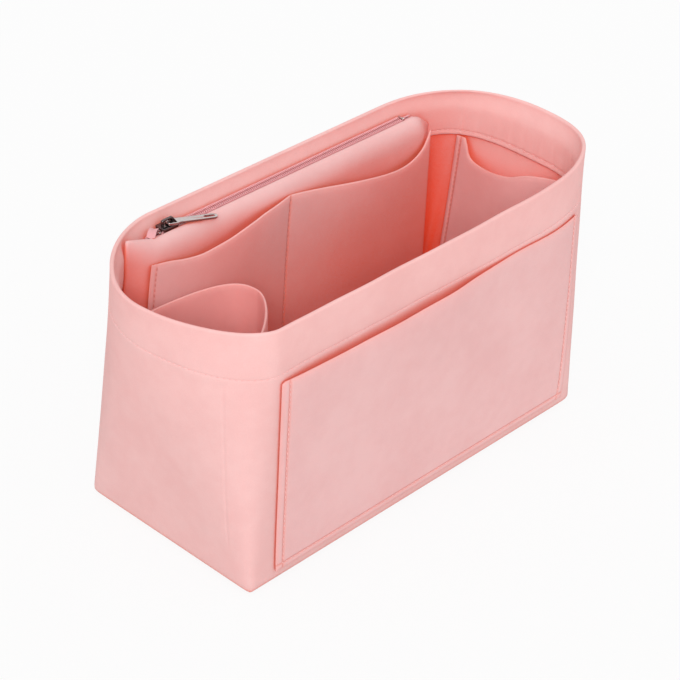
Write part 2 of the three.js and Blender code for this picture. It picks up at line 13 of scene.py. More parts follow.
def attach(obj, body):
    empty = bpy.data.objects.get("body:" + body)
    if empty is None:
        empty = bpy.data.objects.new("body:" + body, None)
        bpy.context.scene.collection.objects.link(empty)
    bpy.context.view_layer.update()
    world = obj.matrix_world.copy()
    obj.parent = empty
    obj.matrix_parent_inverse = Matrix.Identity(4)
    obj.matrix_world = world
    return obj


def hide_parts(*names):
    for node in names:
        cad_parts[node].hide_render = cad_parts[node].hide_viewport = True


bl_info = {
    "name": "Purse organizer insert",
    "version": (1, 0, 0),
    "blender": (4, 5, 0),
    "location": "View3D > Sidebar > Insert",
    "description": "Builds a felt purse organizer insert round its frame",
    "category": "Add Mesh",
}

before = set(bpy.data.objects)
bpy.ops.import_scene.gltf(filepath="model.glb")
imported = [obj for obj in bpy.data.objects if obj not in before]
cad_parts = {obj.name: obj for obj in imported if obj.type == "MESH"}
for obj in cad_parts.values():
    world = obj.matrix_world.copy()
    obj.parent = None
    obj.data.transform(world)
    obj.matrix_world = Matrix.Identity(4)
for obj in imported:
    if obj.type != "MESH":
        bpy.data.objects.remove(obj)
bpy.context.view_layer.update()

# Sizes of the tub, as the frame has them.
BASE_LENGTH = 0.280
BASE_WIDTH = 0.134
TUB_HEIGHT = 0.170
BODY_FELT = 0.0025
POCKET_FELT = 0.002
HEM_DEPTH = 0.032
HEM_SEAM_RISE = 0.0034
SEAT_GAP = 0.0003
CORNER_GAP = 0.0006
RIM_SPREAD_LEFT = 0.022
RIM_SPREAD_RIGHT = 0.028
RIM_BOW_FRONT = 0.0035

# Sizes of the outside pocket.
FRONT_POCKET_LEFT_INSET = 0.022
FRONT_POCKET_RIGHT_INSET = 0.0165
FRONT_POCKET_LIFT = 0.008
FRONT_POCKET_MOUTH_DROP = 0.0006
FRONT_POCKET_GAPE = 0.004
FRONT_POCKET_PUFF = 0.0008
FOOT_SEAM_INSET = 0.0042

# Sizes of the zip pouch.
POUCH_DEPTH = 0.013
POUCH_LEFT_INSET = 0.036
POUCH_RIGHT_INSET = 0.019
POUCH_ROLL_DROP = 0.0125
ZIP_DROP = 0.008
GUSSET_RUN = 0.012
GUSSET_CORNER_INSET = 0.003
POUCH_CORNER = 0.005
LEFT_END_TOP = 0.1690
RIGHT_END_TOP = 0.1480
LEFT_END_RUN = 0.016
LEFT_CORNER_TUCK = 0.004
RIGHT_CORNER_TUCK = 0.006

# Sizes of the zip.
TAPE_THICKNESS = 0.0008
TAPE_FLANGE = 0.012
TAPE_LEFT_INSET = 0.003
TAPE_RIGHT_INSET = 0.005
TAPE_BEND = 0.0012
COIL_WIDTH = 0.002
COIL_HEIGHT = 0.0016
COIL_PITCH = 0.0014
COIL_WIRE = 0.00033
COIL_REACH = 0.00025
COIL_SIDES = 6
COIL_TURN_STEPS = 10
UPRIGHT_NUDGE = 0.001
CHAIN_LEFT_INSET = 0.0087
CHAIN_RIGHT_INSET = 0.010
SLIDER_SIDE_WALL = 0.0008
SLIDER_POST = 0.0006
TAIL_START = (-0.0947, 0.0590, 0.1626)
TAIL_END = (-0.1020, 0.0540, 0.1618)
TAIL_WIDTH = 0.0052
TAIL_ARCH = 0.0012
TAIL_CREASE = 0.0007

# Sizes of the slip pockets, the bottle loop and the end pocket.
SLIP_GAPE_LEFT = 0.0065
SLIP_GAPE_RIGHT = 0.007
SLIP_MOUTH_DROP = 0.016
SLIP_DIP = 0.014
SLIP_TUCK = 0.65
SLIP_TUCK_RUN = 0.014
SLIP_TUCK_FROM = 0.6
LOOP_FOOT = 0.030
LOOP_TOP_DROP = 0.007
LOOP_REACH = 0.080
LOOP_TIP_Y = 0.010
LOOP_BACK_INSET = 0.027
LOOP_FRONT_INSET = 0.021
END_POCKET_FRONT_INSET = 0.023
END_POCKET_BACK_INSET = 0.0165
END_POCKET_GAPE = 0.012
END_POCKET_DIP = 0.014

# The tub's corners, front right first and on round. A corner's curve starts at a share of half
# the base length; its power is high where the corner is square and near 2 where it is round.
CORNER_SHARES = (
    {"x": 1, "y": -1, "start": 0.435, "power": 2.87, "ease": 1.1},
    {"x": 1, "y": 1, "start": 0.68, "power": 2.15, "ease": 0.6},
    {"x": -1, "y": 1, "start": 0.66, "power": 1.76, "ease": 1.1},
    {"x": -1, "y": -1, "start": 0.87, "power": 1.74, "ease": 1.1},
)
BASE_POWER_SHARE = 32

# How the mouths hang: places along each, and how far it gapes or dips there, as shares.
FRONT_GAPE_SHARES = (
    (0, 0), (0.1, 0.65), (0.3, 0.9), (0.5, 1), (0.61, 0.5), (0.71, 0.08), (0.8, 0), (1, 0),
)
FRONT_MOUTH_RISE = 0.0018
FRONT_RISE_SHARES = ((0, 0), (0.3, 0.2), (0.5, 0.7), (0.62, 1), (0.75, 0.9), (0.9, 0.2), (1, 0))
LEFT_MOUTH_SHARES = (
    (0, 0.2), (0.12, 0.33), (0.22, 0.48), (0.32, 0.54), (0.41, 0.46), (0.52, 0.33),
    (0.6, 0.2), (0.69, 0.09), (0.78, 0), (0.9, 0), (1, 0),
)
RIGHT_MOUTH_SHARES = ((0, 0), (0.2, 0.25), (0.45, 0.62), (0.75, 1), (0.92, 0.8), (1, 0.1))
END_MOUTH_SHARES = (
    (0, 0), (0.15, 0.05), (0.35, 0.3), (0.5, 0.75), (0.7, 1), (0.86, 0.85), (0.93, 0), (1, 0),
)
DIVIDER_SHARE = 0.470
SLIP_LEAN_SHARE = 1.3
POUCH_LEFT_BEND_SHARE = 0.42
POUCH_RIGHT_BEND_SHARE = 1.3
LOOP_BACK_POWER_SHARE = 3
LOOP_FRONT_POWER_SHARE = 1.5

# Places worked out from the sizes.
HALF_LENGTH = BASE_LENGTH / 2
HALF_WIDTH = BASE_WIDTH / 2
HEM_FOOT = TUB_HEIGHT - HEM_DEPTH
HEM_THICKNESS = 2 * BODY_FELT
HEM_FACE_Y = HALF_WIDTH - HEM_THICKNESS
HEM_SEAM = HEM_FOOT + HEM_SEAM_RISE
FLOOR_TOP = BODY_FELT + SEAT_GAP
POUCH_LEFT_TOP = HALF_LENGTH - POUCH_LEFT_INSET
POUCH_RIGHT_TOP = HALF_LENGTH - POUCH_RIGHT_INSET
POUCH_FOOT = HALF_LENGTH - HEM_THICKNESS - CORNER_GAP - GUSSET_CORNER_INSET - GUSSET_RUN
POUCH_FACE_Y = HEM_FACE_Y - POUCH_DEPTH - POCKET_FELT
POUCH_TOP = TUB_HEIGHT - ZIP_DROP
ROLL_FOOT = POUCH_TOP - POUCH_ROLL_DROP
TAPE_LEFT = POUCH_LEFT_TOP - TAPE_LEFT_INSET
TAPE_RIGHT = POUCH_RIGHT_TOP - TAPE_RIGHT_INSET
TAPE_TOP = POUCH_TOP - POCKET_FELT - SEAT_GAP
CHAIN_LEFT = TAPE_LEFT - CHAIN_LEFT_INSET
CHAIN_RIGHT = TAPE_RIGHT - CHAIN_RIGHT_INSET
COIL_SPLIT = SLIDER_POST + 2 * SEAT_GAP
COIL_FOOT = TAPE_TOP + SEAT_GAP
CHAIN_HALF = COIL_SPLIT / 2 + COIL_WIDTH
SLIDER_HALF_WIDTH = CHAIN_HALF + SEAT_GAP + SLIDER_SIDE_WALL
CHAIN_Y = HEM_FACE_Y - SEAT_GAP - SLIDER_HALF_WIDTH
SLOT_FRONT_Y = CHAIN_Y - SLIDER_HALF_WIDTH - SEAT_GAP
LOOP_TOP = HEM_FOOT - LOOP_TOP_DROP
BASE_SEAM_SHARE = 1 - 2 * FOOT_SEAM_INSET / BASE_WIDTH

# How finely the sheets, the stitches and the metal's edges are cut.
CORNER_STEPS = 120
TABLE_COLUMNS = 1600
TABLE_LEVELS = 170
SPLINE_STEPS = 400
SEARCH_STEPS = 40
GRID_STEP = 0.0022
EDGE_STEPS = 4
SEAM_STEPS = 4
LEAST_STEP = 0.00012
RIM_STEPS = 12
BASE_RINGS = 8
GUSSET_STEPS = 12
POUCH_CORNER_STEPS = 10
LOOP_FINE_STEPS = 2000
LINE_STEPS = 60
FOOT_LINE_STEPS = 110
STITCH_RINGS = 5
STITCH_SIDES = 6
STITCH_END_SHARE = 0.15
BEVEL_SEGMENTS = 3
FLAT_ANGLE = math.radians(2)
BEVEL_ANGLE = math.radians(40)
SHARP_ANGLE = math.radians(35)

# Seams: where they run and how they press into the felt.
EDGE_RADIUS = 0.0006
LIP_SHARE = 0.6
LIP_RUN = 0.0022
HEM_PUFF = 0.0005
BACK_STILL_HALF = 0.12
BACK_STILL_EDGE = 0.17
SEAM_DEPTH = 0.0007
SEAM_WIDTH = 0.0009
FAINT_SEAM_SHARE = 0.35
FOOT_ROUND = 0.0035
RIM_THICKNESS = 0.0025
RIM_TAPER_RUN = 0.012
BASE_EDGE_DEPTH = 0.0044
BASE_FLAT_RUN = 1.2
SIDE_SEAM_INSET = 0.005
SLIP_SEAM_INSET = 0.0035
ROUND_CORNER = 0.0025
PROBE = 0.0025

# Fine ripples of the hem at the right end: the length of one, that of a longer one to it, the
# height, and how far along they spread.
RIPPLE_LENGTH = 0.0048
RIPPLE_RATIO = 1.7
RIPPLE_HEIGHT = 0.0004
RIPPLE_SPREAD = 0.06

# The faces of the wall's section. Its rounded edges are 0.
OUTER_FACE = 1
HEM_FACE = 2
INNER_FACE = 3

# Slow waves of a soft sheet: the length along and up, the height, and where each starts.
WAVES = (
    {"along": 0.190, "up": 0.260, "height": 0.0003, "phase": 0.6},
    {"along": 0.083, "up": 0.140, "height": 0.00018, "phase": 2.1},
    {"along": 0.041, "up": 0.071, "height": 0.00012, "phase": 4.0},
)


def mix(a, b, share):
    return a + (b - a) * share


def smooth(low, high, value):
    """Rises smoothly from 0 at low to 1 at high."""
    share = np.clip((value - low) / (high - low), 0, 1)
    return share * share * (3 - 2 * share)


def bell(distance, width):
    return np.exp(-((distance / width) ** 2))


def quarter_fall(share):
    """How far a quarter round of radius 1 falls away, from 0 to 1."""
    return 1 - np.sqrt(1 - np.clip(share, 0, 1) ** 2)


def bend(start, corner, finish, share):
    """A point of the curve from start to finish that a corner pulls to itself."""
    return (1 - share) ** 2 * start + 2 * share * (1 - share) * corner + share * share * finish


def unit(vectors):
    return vectors / np.maximum(np.linalg.norm(vectors, axis=-1, keepdims=True), 1e-12)


def way_along(points):
    """The distance along a path at each of its points."""
    steps = np.linalg.norm(np.diff(points, axis=0), axis=1)
    return np.concatenate([[0], np.cumsum(steps)])


def on_path(points, way, distance):
    """Places on a path at distances along it."""
    return np.column_stack([np.interp(distance, way, column) for column in points.T])


def between(values, row, column):
    """Values between the points of a grid, at rows and columns that needn't be whole."""
    low = np.minimum(row.astype(int), values.shape[0] - 2)
    left = np.minimum(column.astype(int), values.shape[1] - 2)
    up, across = (row - low)[..., None], (column - left)[..., None]
    lower = mix(values[low, left], values[low, left + 1], across)
    upper = mix(values[low + 1, left], values[low + 1, left + 1], across)
    return mix(lower, upper, up)


def spline_height(shares, places):
    """The height of a smooth curve through a list of places and heights."""
    knots = np.array(shares, float)
    last = len(knots) - 1
    way = np.linspace(0, last, SPLINE_STEPS)
    index = np.minimum(way.astype(int), last - 1)
    turn = (way - index)[:, None]
    before, here, after, beyond = (knots[np.clip(index + k, 0, last)] for k in (-1, 0, 1, 2))
    leave, arrive = (after - before) / 2, (beyond - here) / 2
    curve = (2 * here - 2 * after + leave + arrive) * turn ** 3
    curve += (3 * after - 3 * here - 2 * leave - arrive) * turn ** 2
    curve += leave * turn + here
    return np.maximum(np.interp(places, curve[:, 0], curve[:, 1]), 0)


def quarter_outline(corner, z):
    """A quarter of the tub's outline at height z, anticlockwise from above."""
    share = z / TUB_HEIGHT
    spread = RIM_SPREAD_RIGHT if corner["x"] > 0 else RIM_SPREAD_LEFT
    bow = RIM_BOW_FRONT if corner["y"] < 0 else 0
    tip = HALF_LENGTH + spread * share
    width = HALF_WIDTH + bow * share
    start = corner["start"] * HALF_LENGTH
    eased = 1 - (1 - share) ** corner["ease"]
    inverse = mix(1 / BASE_POWER_SHARE, 1 / corner["power"], eased)
    angle = np.linspace(0, math.pi / 2, CORNER_STEPS + 1)
    x = start + (tip - start) * np.sin(angle) ** (2 * inverse)
    y = width * np.maximum(np.cos(angle), 0) ** (2 * inverse)
    points = np.concatenate([[[0, width]], np.column_stack([x, y])]) * (corner["x"], corner["y"])
    return points if corner["x"] * corner["y"] < 0 else points[::-1]


def tub_table():
    """The tub's outside as rows of points, one row a level and one column a place along."""
    foot = [way_along(quarter_outline(corner, 0))[-1] for corner in CORNER_SHARES]
    starts = np.concatenate([[0], np.cumsum(foot)])
    along = np.linspace(0, starts[-1], TABLE_COLUMNS + 1)
    index = np.clip(np.searchsorted(starts, along, side="right") - 1, 0, len(foot) - 1)
    share = (along - starts[index]) / np.array(foot)[index]
    table = np.zeros((TABLE_LEVELS + 1, TABLE_COLUMNS + 1, 2))
    for row, z in enumerate(np.linspace(0, TUB_HEIGHT, TABLE_LEVELS + 1)):
        for i, corner in enumerate(CORNER_SHARES):
            points = quarter_outline(corner, z)
            way = way_along(points)
            mine = index == i
            table[row, mine] = on_path(points, way, share[mine] * way[-1])
    return starts, table


MIDDLES, TUB = tub_table()
RIGHT_MIDDLE, BACK_MIDDLE, LEFT_MIDDLE, WHOLE_WAY = MIDDLES[1:]

# Places along the tub where the end pocket and the bottle loop meet its wall.
END_POCKET_FRONT = RIGHT_MIDDLE + END_POCKET_FRONT_INSET - HALF_WIDTH
END_POCKET_BACK = RIGHT_MIDDLE + HALF_WIDTH - END_POCKET_BACK_INSET
LOOP_BACK = LEFT_MIDDLE + LOOP_BACK_INSET - HALF_WIDTH
LOOP_FRONT = LEFT_MIDDLE + HALF_WIDTH - LOOP_FRONT_INSET


def outside(along, z):
    """The tub's outside face at places along its foot and at heights."""
    column = np.mod(along, WHOLE_WAY) / WHOLE_WAY * TABLE_COLUMNS
    return between(TUB, np.clip(z / TUB_HEIGHT, 0, 1) * TABLE_LEVELS, column)


def loose(along):
    """How free the sheet is to wave: not at all along the back, where the zip is sewn to it."""
    away = np.abs(np.mod(along - BACK_MIDDLE + WHOLE_WAY / 2, WHOLE_WAY) - WHOLE_WAY / 2)
    return smooth(BACK_STILL_HALF, BACK_STILL_EDGE, away)


def wave(along, z):
    """How far the soft sheet waves in or out of its true place, none at its foot."""
    turn = 2 * math.pi
    total = 0
    for item in WAVES:
        count = round(WHOLE_WAY / item["along"])
        phase = turn * count * along / WHOLE_WAY + turn * z / item["up"] + item["phase"]
        total = total + item["height"] * np.sin(phase)
    return total * smooth(0, HEM_FOOT, z) * loose(along)


def sheet(along, z, depth):
    """Points at a depth inside the tub's outside face. A negative depth lies outside it."""
    along, z, depth = np.broadcast_arrays(*(np.asarray(v, float) for v in (along, z, depth)))
    way = unit(outside(along + PROBE, z) - outside(along - PROBE, z))
    inward = np.stack([-way[..., 1], way[..., 0]], axis=-1)
    flat = outside(along, z) + (depth + wave(along, z))[..., None] * inward
    return np.concatenate([flat, z[..., None]], axis=-1)


def back_along(x, z, depth):
    """The places along the back where the sheet at this depth passes x."""
    x, z = np.broadcast_arrays(np.asarray(x, float), np.asarray(z, float))
    low = np.full(x.shape, RIGHT_MIDDLE)
    high = np.full(x.shape, LEFT_MIDDLE)
    for _ in range(SEARCH_STEPS):
        middle = (low + high) / 2
        passed = sheet(middle, z, depth)[..., 0] > x
        low = np.where(passed, middle, low)
        high = np.where(passed, high, middle)
    return low


def spaced(length, step=GRID_STEP, radius=EDGE_RADIUS, seams=()):
    """Places from 0 to 1 along a sheet: even, and closer at its rounded edges and seams."""
    even = np.linspace(0, length, max(round(length / step), 2) + 1)
    edge = radius * (1 - np.cos(np.linspace(0, math.pi / 2, EDGE_STEPS + 1)))
    near = np.linspace(-2, 2, 4 * SEAM_STEPS + 1) * SEAM_WIDTH
    kept = sorted(np.concatenate([edge, length - edge, *(seam + near for seam in seams)]))
    clear = [p for p in even if min(abs(p - k) for k in kept) > step / 4]
    kept = sorted(p for p in [*kept, *clear] if 0 <= p <= length)
    chosen = [kept[0]]
    for place in kept[1:-1]:
        if place - chosen[-1] > LEAST_STEP / 2 and length - place > LEAST_STEP / 4:
            chosen.append(place)
    return np.array([*chosen, length]) / length


def round_tub():
    """Even places all the way round the tub."""
    return np.linspace(0, WHOLE_WAY, round(WHOLE_WAY / GRID_STEP))


def grid_normals(points):
    """Normals of a grid of points, from its neighbours across and up."""
    return unit(np.cross(np.gradient(points, axis=1), np.gradient(points, axis=0)))


def add_object(name, data):
    made = bpy.data.objects.new(name, data)
    bpy.context.scene.collection.objects.link(made)
    return made


def face_outwards(mesh):
    """Turns the faces of a closed mesh over if they look inwards."""
    mesh.calc_loop_triangles()
    corners = np.empty(3 * len(mesh.loop_triangles), np.int32)
    mesh.loop_triangles.foreach_get("vertices", corners)
    places = np.empty(3 * len(mesh.vertices), np.float32)
    mesh.vertices.foreach_get("co", places)
    a, b, c = np.moveaxis(places.reshape(-1, 3)[corners].reshape(-1, 3, 3), 1, 0)
    if (a * np.cross(b, c)).sum() < 0:
        mesh.flip_normals()


def make_piece(name, points, faces, kind, replaces=(), hollow=0.0, seam=0.0):
    """A mesh object on the organizer that stands for some nodes and has one kind of look.

    The share of painted shade and the seam share say how far each point's felt is painted with
    the deep red of painted shade and with the crease colour of painted seam shade and edge glow."""
    mesh = bpy.data.meshes.new(name)
    mesh.from_pydata([tuple(p) for p in points], [], faces)
    mesh.update()
    face_outwards(mesh)
    mesh.polygons.foreach_set("use_smooth", [True] * len(mesh.polygons))
    for tint, values in (("hollow", hollow), ("seam", seam)):
        spread = np.ascontiguousarray(np.broadcast_to(values, len(mesh.vertices)), np.float32)
        mesh.attributes.new(tint, "FLOAT", "POINT").data.foreach_set("value", spread)
    dress(add_object(name, mesh), kind, replaces)


def dress(piece, kind, replaces=(), body="organizer"):
    """Gives a piece its look and its body, and hides the CAD nodes that it stands for."""
    piece.data.materials.clear()
    piece.data.materials.append(look_of(kind))
    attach(piece, body)
    if replaces:
        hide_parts(*replaces)


def slab(us, vs, skin, felt, size, radius, flip, seam, thin):
    """A closed sheet of felt: skin is its outer face as a grid, with its edges rounded.

    size is its length and height, seam says where stitching presses both faces in, from 0 to 1,
    and thin is the share of its thickness that is left. Gives points, faces and seam shares,
    which paint shade into the pressed seams and paint a glow along the thin edges, for light
    through them."""
    normals = grid_normals(skin) * (-1 if flip else 1)
    middle = skin - normals * felt / 2
    across, up = np.meshgrid(us, vs)
    length, height = size
    edge = np.minimum(np.minimum(across, 1 - across) * length, np.minimum(up, 1 - up) * height)
    fill = np.sqrt(np.maximum(1 - (1 - np.clip(edge / radius, 0, 1)) ** 2, 0))
    fill = fill * thin * mix(LIP_SHARE, 1, smooth(0, LIP_RUN, edge))
    seam = np.broadcast_to(seam, across.shape)
    half = (fill * (felt / 2 - seam * min(SEAM_DEPTH, felt / 4)))[..., None]
    index = np.arange(across.size).reshape(across.shape)
    back = index + across.size
    for border in (np.s_[0, :], np.s_[-1, :], np.s_[:, 0], np.s_[:, -1]):
        back[border] = index[border]
    faces = []
    for ids, turned in ((index, flip), (back, not flip)):
        a, b, c, d = ids[:-1, :-1], ids[:-1, 1:], ids[1:, 1:], ids[1:, :-1]
        quads = np.stack([a, d, c, b] if turned else [a, b, c, d], axis=-1)
        faces.append(quads.reshape(-1, 4))
    points = np.concatenate([(middle + way * normals * half).reshape(-1, 3) for way in (1, -1)])
    faces = np.concatenate(faces)
    used, places = np.unique(faces, return_inverse=True)
    # Painted glow: the thin edges take a share of the seam colour, standing in for light through
    # them.
    lip = PAINTED_LIP_GLOW * (1 - smooth(0, PAINTED_LIP_GLOW_RUN, edge))
    shares = np.tile(np.maximum(seam, lip).ravel(), 2)
    return points[used], places.reshape(faces.shape).tolist(), shares[used]


def panel(name, grid, replaces=(), kind="pocket_felt", hollow=0.0, tint=0.0, thin=1.0,
          flip=False):
    """A piece of felt or tape made from a grid: its places along and up, its outer face, its
    pressed seams and its flat size. Its share of painted shade is given or worked out from the
    points, and tint says how deep the painted shade in its seams and the painted glow along its
    thin edges are."""
    us, vs, skin, seam, size = grid
    felt, radius = POCKET_FELT, EDGE_RADIUS
    if kind == "zip_tape":
        felt, radius = TAPE_THICKNESS, TAPE_THICKNESS / 2
    points, faces, seams = slab(us, vs, skin, felt, size, radius, flip, seam, thin)
    shares = hollow(points) if callable(hollow) else hollow
    make_piece(name, points, faces, kind, replaces, shares, tint * seams)


def loft(loops, closed_way=False):
    """A skin over equal closed loops. A closed way joins the last loop to the first, and the
    ends of an open one are closed by faces that fan out from their middles."""
    points = np.concatenate(loops)
    ids = np.arange(len(points)).reshape(len(loops), len(loops[0]))
    if closed_way:
        ids = np.concatenate([ids, ids[:1]])
    ids = np.concatenate([ids, ids[:, :1]], axis=1)
    quads = np.stack([ids[:-1, :-1], ids[:-1, 1:], ids[1:, 1:], ids[1:, :-1]], axis=-1)
    faces = quads.reshape(-1, 4).tolist()
    if not closed_way:
        first, last = len(points), len(points) + 1
        faces += [(first, b, a) for a, b in zip(ids[0], ids[0, 1:])]
        faces += [(last, a, b) for a, b in zip(ids[-1], ids[-1, 1:])]
        points = np.concatenate([points, [loops[0].mean(axis=0), loops[-1].mean(axis=0)]])
    return points, faces


# Pressed felt: fine fibres over soft mottling, and light comes through it. Shade is painted into
# its colour: where ambient occlusion finds it closed in, it is painted deep red in place of the
# shade and bounced light of its hollows, and narrow gaps, pressed seams and thin edges are
# painted a crease colour, which is painted shade in the gaps and seams and a painted glow on the
# edges.
FELT_FIBRE = {"Scale": 1500, "Detail": 4}
FELT_MOTTLE = {"Scale": 130, "Detail": 3}
FELT_CLOUD = {"Scale": 22, "Detail": 2}
FELT_TINT_FROM = 0.4
FELT_TINT_TO = 0.6
FELT_ROUGHNESS = 0.95
FELT_SPECULAR = 0.1
FELT_SHEEN = 0.1
FELT_SHEEN_ROUGHNESS = 0.5
FELT_DARK_SHARES = (0.96, 0.91, 0.91)
FELT_BUMP_STRENGTH = 0.5
FELT_BUMP_HEIGHT = 0.00025
FELT_TRANSLUCENT_SHARE = 0.3
# Painted shade from ambient occlusion: how far it looks, and the occlusion at which the painted
# colour starts and at which it is full, first for the deep red, then for the crease colour.
SHADE_PAINT_REACH = 0.15
SHADE_PAINT_OPEN = 0.65
SHADE_PAINT_FULL = 0.15
CREASE_SHADE_PAINT_REACH = 0.009
CREASE_SHADE_PAINT_OPEN = 0.75
CREASE_SHADE_PAINT_FULL = 0.15
OCCLUSION_SAMPLES = 4
# How much shade is painted on each piece: the tub's inside, deeper from its left end to its right
# and most in a recess at the right end, the pouch, the slip pockets, lighter at their left, the
# loop and the end pocket.
LEFT_PAINTED_SHADE = 0.05
RIGHT_PAINTED_SHADE = 0.6
RECESS_PAINTED_SHADE = 1.6
RECESS_SHADE_SPREAD = 0.022
POUCH_PAINTED_SHADE = 0.8
SLIP_PAINTED_SHADE = 0.85
SLIP_LEFT_PAINTED_SHADE = 0.2
SLIP_SHADE_FROM_X = -0.11
SLIP_SHADE_TO_X = -0.03
LOOP_PAINTED_SHADE = 0.3
END_POCKET_PAINTED_SHADE = 0.35
# How deep the painted shade in pressed seams and the painted glow along thin edges are, and how
# far in from an edge the glow runs.
FRONT_SEAM_SHADE_AND_GLOW = 0.45
INNER_SEAM_SHADE_AND_GLOW = 0.5
PAINTED_LIP_GLOW = 0.35
PAINTED_LIP_GLOW_RUN = 0.0028

# Woven tape, and what is moulded, spun or plated.
TAPE_RIBS = {"Scale": 450, "Distortion": 1}
TAPE_DARK_SHARES = (0.86, 0.8, 0.8)
TAPE_ROUGHNESS = 0.75
TAPE_SHEEN = 0.2
TAPE_BUMP_STRENGTH = 0.3
TAPE_BUMP_HEIGHT = 0.0001
PLAIN_GRAIN = {"Scale": 900, "Detail": 3}
PLAIN_TINT_FROM = 0.35
PLAIN_TINT_TO = 0.65
PLAIN_DARK_SHARES = (0.9, 0.9, 0.9)
GLOSS_SPREAD = 0.15
PLAIN_LOOKS = {
    "zip_coil": {"colour": "coil", "roughness": 0.45, "metallic": 0},
    "zip_metal": {"colour": "nickel", "roughness": 0.22, "metallic": 1},
    # The slider's darker copy of the nickel: painted shade and dark reflections.
    "slider_metal": {"colour": "slider", "roughness": 0.2, "metallic": 1},
    "thread": {"colour": "thread", "roughness": 0.6, "metallic": 0},
    # The thread's shaded copy: painted shade on the stitches inside the tub.
    "inner_thread": {"colour": "inner_thread", "roughness": 0.6, "metallic": 0},
}


def rgb(colour):
    return (*colour, 1)


def node(tree, kind, inputs=None, **settings):
    """A new shader node with its settings. Its inputs are linked to sockets or set to values."""
    made = tree.nodes.new("ShaderNode" + kind)
    for name, value in settings.items():
        setattr(made, name, value)
    plug(tree, made, inputs or {})
    return made


def plug(tree, made, inputs):
    for key, value in inputs.items():
        if isinstance(value, bpy.types.NodeSocket):
            tree.links.new(value, made.inputs[key])
        else:
            made.inputs[key].default_value = value


def maths(tree, operation, first, second, clamp=False):
    inputs = {0: first, 1: second}
    return node(tree, "Math", inputs, operation=operation, use_clamp=clamp).outputs[0]


def halfway(tree, first, second):
    """The average of two values."""
    return maths(tree, "MULTIPLY", maths(tree, "ADD", first, second), 1 / 2)


def blend_shaders(tree, factor, first, second, output):
    """Goes from the first shader to the second as the factor goes from 0 to 1."""
    inputs = {0: factor, 1: first.outputs[0], 2: second.outputs[0]}
    plug(tree, tree.nodes[output], {"Surface": node(tree, "MixShader", inputs).outputs[0]})


def principled(name, colour):
    """A material with a principled shader, its colour and the tree to build on."""
    look = bpy.data.materials.new(name)
    look.use_nodes = True
    shader = look.node_tree.nodes["Principled BSDF"]
    shader.inputs["Base Color"].default_value = rgb(colour)
    return look, look.node_tree, shader


def tinted(tree, driver, low, high, colour, dark_shares):
    """Runs from a darker colour to the colour as the driver goes from low to high."""
    ramp = node(tree, "ValToRGB", {"Fac": driver})
    dark = [c * share for c, share in zip(colour, dark_shares)]
    for element, place, tint in zip(ramp.color_ramp.elements, (low, high), (dark, colour)):
        element.position = place
        element.color = rgb(tint)
    return ramp.outputs["Color"]


def mixed(tree, factor, colour, deep):
    """Goes from the colour to the deep one as the factor goes from 0 to 1."""
    mixer = node(tree, "Mix", {"Factor": factor}, data_type="RGBA")
    first, second = [socket for socket in mixer.inputs if socket.type == "RGBA"]
    tree.links.new(colour, first)
    second.default_value = rgb(deep)
    return [socket for socket in mixer.outputs if socket.type == "RGBA"][0]


def closed_in(tree, reach, deep_at, open_at):
    """How closed in the surface is within a reach, from 0 to 1."""
    near = node(tree, "AmbientOcclusion", {"Distance": reach}, samples=OCCLUSION_SAMPLES)
    inputs = {"From Min": open_at, "From Max": deep_at, "Value": near.outputs["AO"]}
    return node(tree, "MapRange", inputs).outputs["Result"]


def bumped(tree, height, strength, distance):
    inputs = {"Strength": strength, "Distance": distance, "Height": height}
    return node(tree, "Bump", inputs).outputs["Normal"]


def object_place(tree):
    return node(tree, "TexCoord").outputs["Object"]


def noise(tree, place, grain):
    return node(tree, "TexNoise", {"Vector": place, **grain}).outputs["Fac"]


def attribute(tree, name):
    return node(tree, "Attribute", attribute_name=name).outputs["Fac"]


def felt_look(name, colour):
    look, tree, shader = principled(name, colour)
    place = object_place(tree)
    grain = halfway(tree, noise(tree, place, FELT_FIBRE), noise(tree, place, FELT_MOTTLE))
    cloudy = halfway(tree, grain, noise(tree, place, FELT_CLOUD))
    tint = tinted(tree, cloudy, FELT_TINT_FROM, FELT_TINT_TO, colour, FELT_DARK_SHARES)
    # Painted shade: deep red where ambient occlusion finds the surface closed in, as far as each
    # point's share of painted shade lets it.
    deep = closed_in(tree, SHADE_PAINT_REACH, SHADE_PAINT_FULL, SHADE_PAINT_OPEN)
    deep = maths(tree, "MULTIPLY", deep, attribute(tree, "hollow"), clamp=True)
    tint = mixed(tree, deep, tint, colours().hollow)
    # Painted shade in narrow gaps, from ambient occlusion of short reach.
    gap = closed_in(tree, CREASE_SHADE_PAINT_REACH, CREASE_SHADE_PAINT_FULL, CREASE_SHADE_PAINT_OPEN)
    tint = mixed(tree, gap, tint, colours().crease)
    # Painted shade in pressed seams and painted glow along thin edges, from each point's seam
    # share.
    tint = mixed(tree, attribute(tree, "seam"), tint, colours().crease)
    plug(tree, shader, {
        "Base Color": tint,
        "Normal": bumped(tree, grain, FELT_BUMP_STRENGTH, FELT_BUMP_HEIGHT),
        "Roughness": FELT_ROUGHNESS,
        "Specular IOR Level": FELT_SPECULAR,
        "Sheen Weight": FELT_SHEEN,
        "Sheen Roughness": FELT_SHEEN_ROUGHNESS,
        "Sheen Tint": rgb(colour),
    })
    through = node(tree, "BsdfTranslucent", {"Color": tint})
    blend_shaders(tree, FELT_TRANSLUCENT_SHARE, shader, through, "Material Output")
    return look


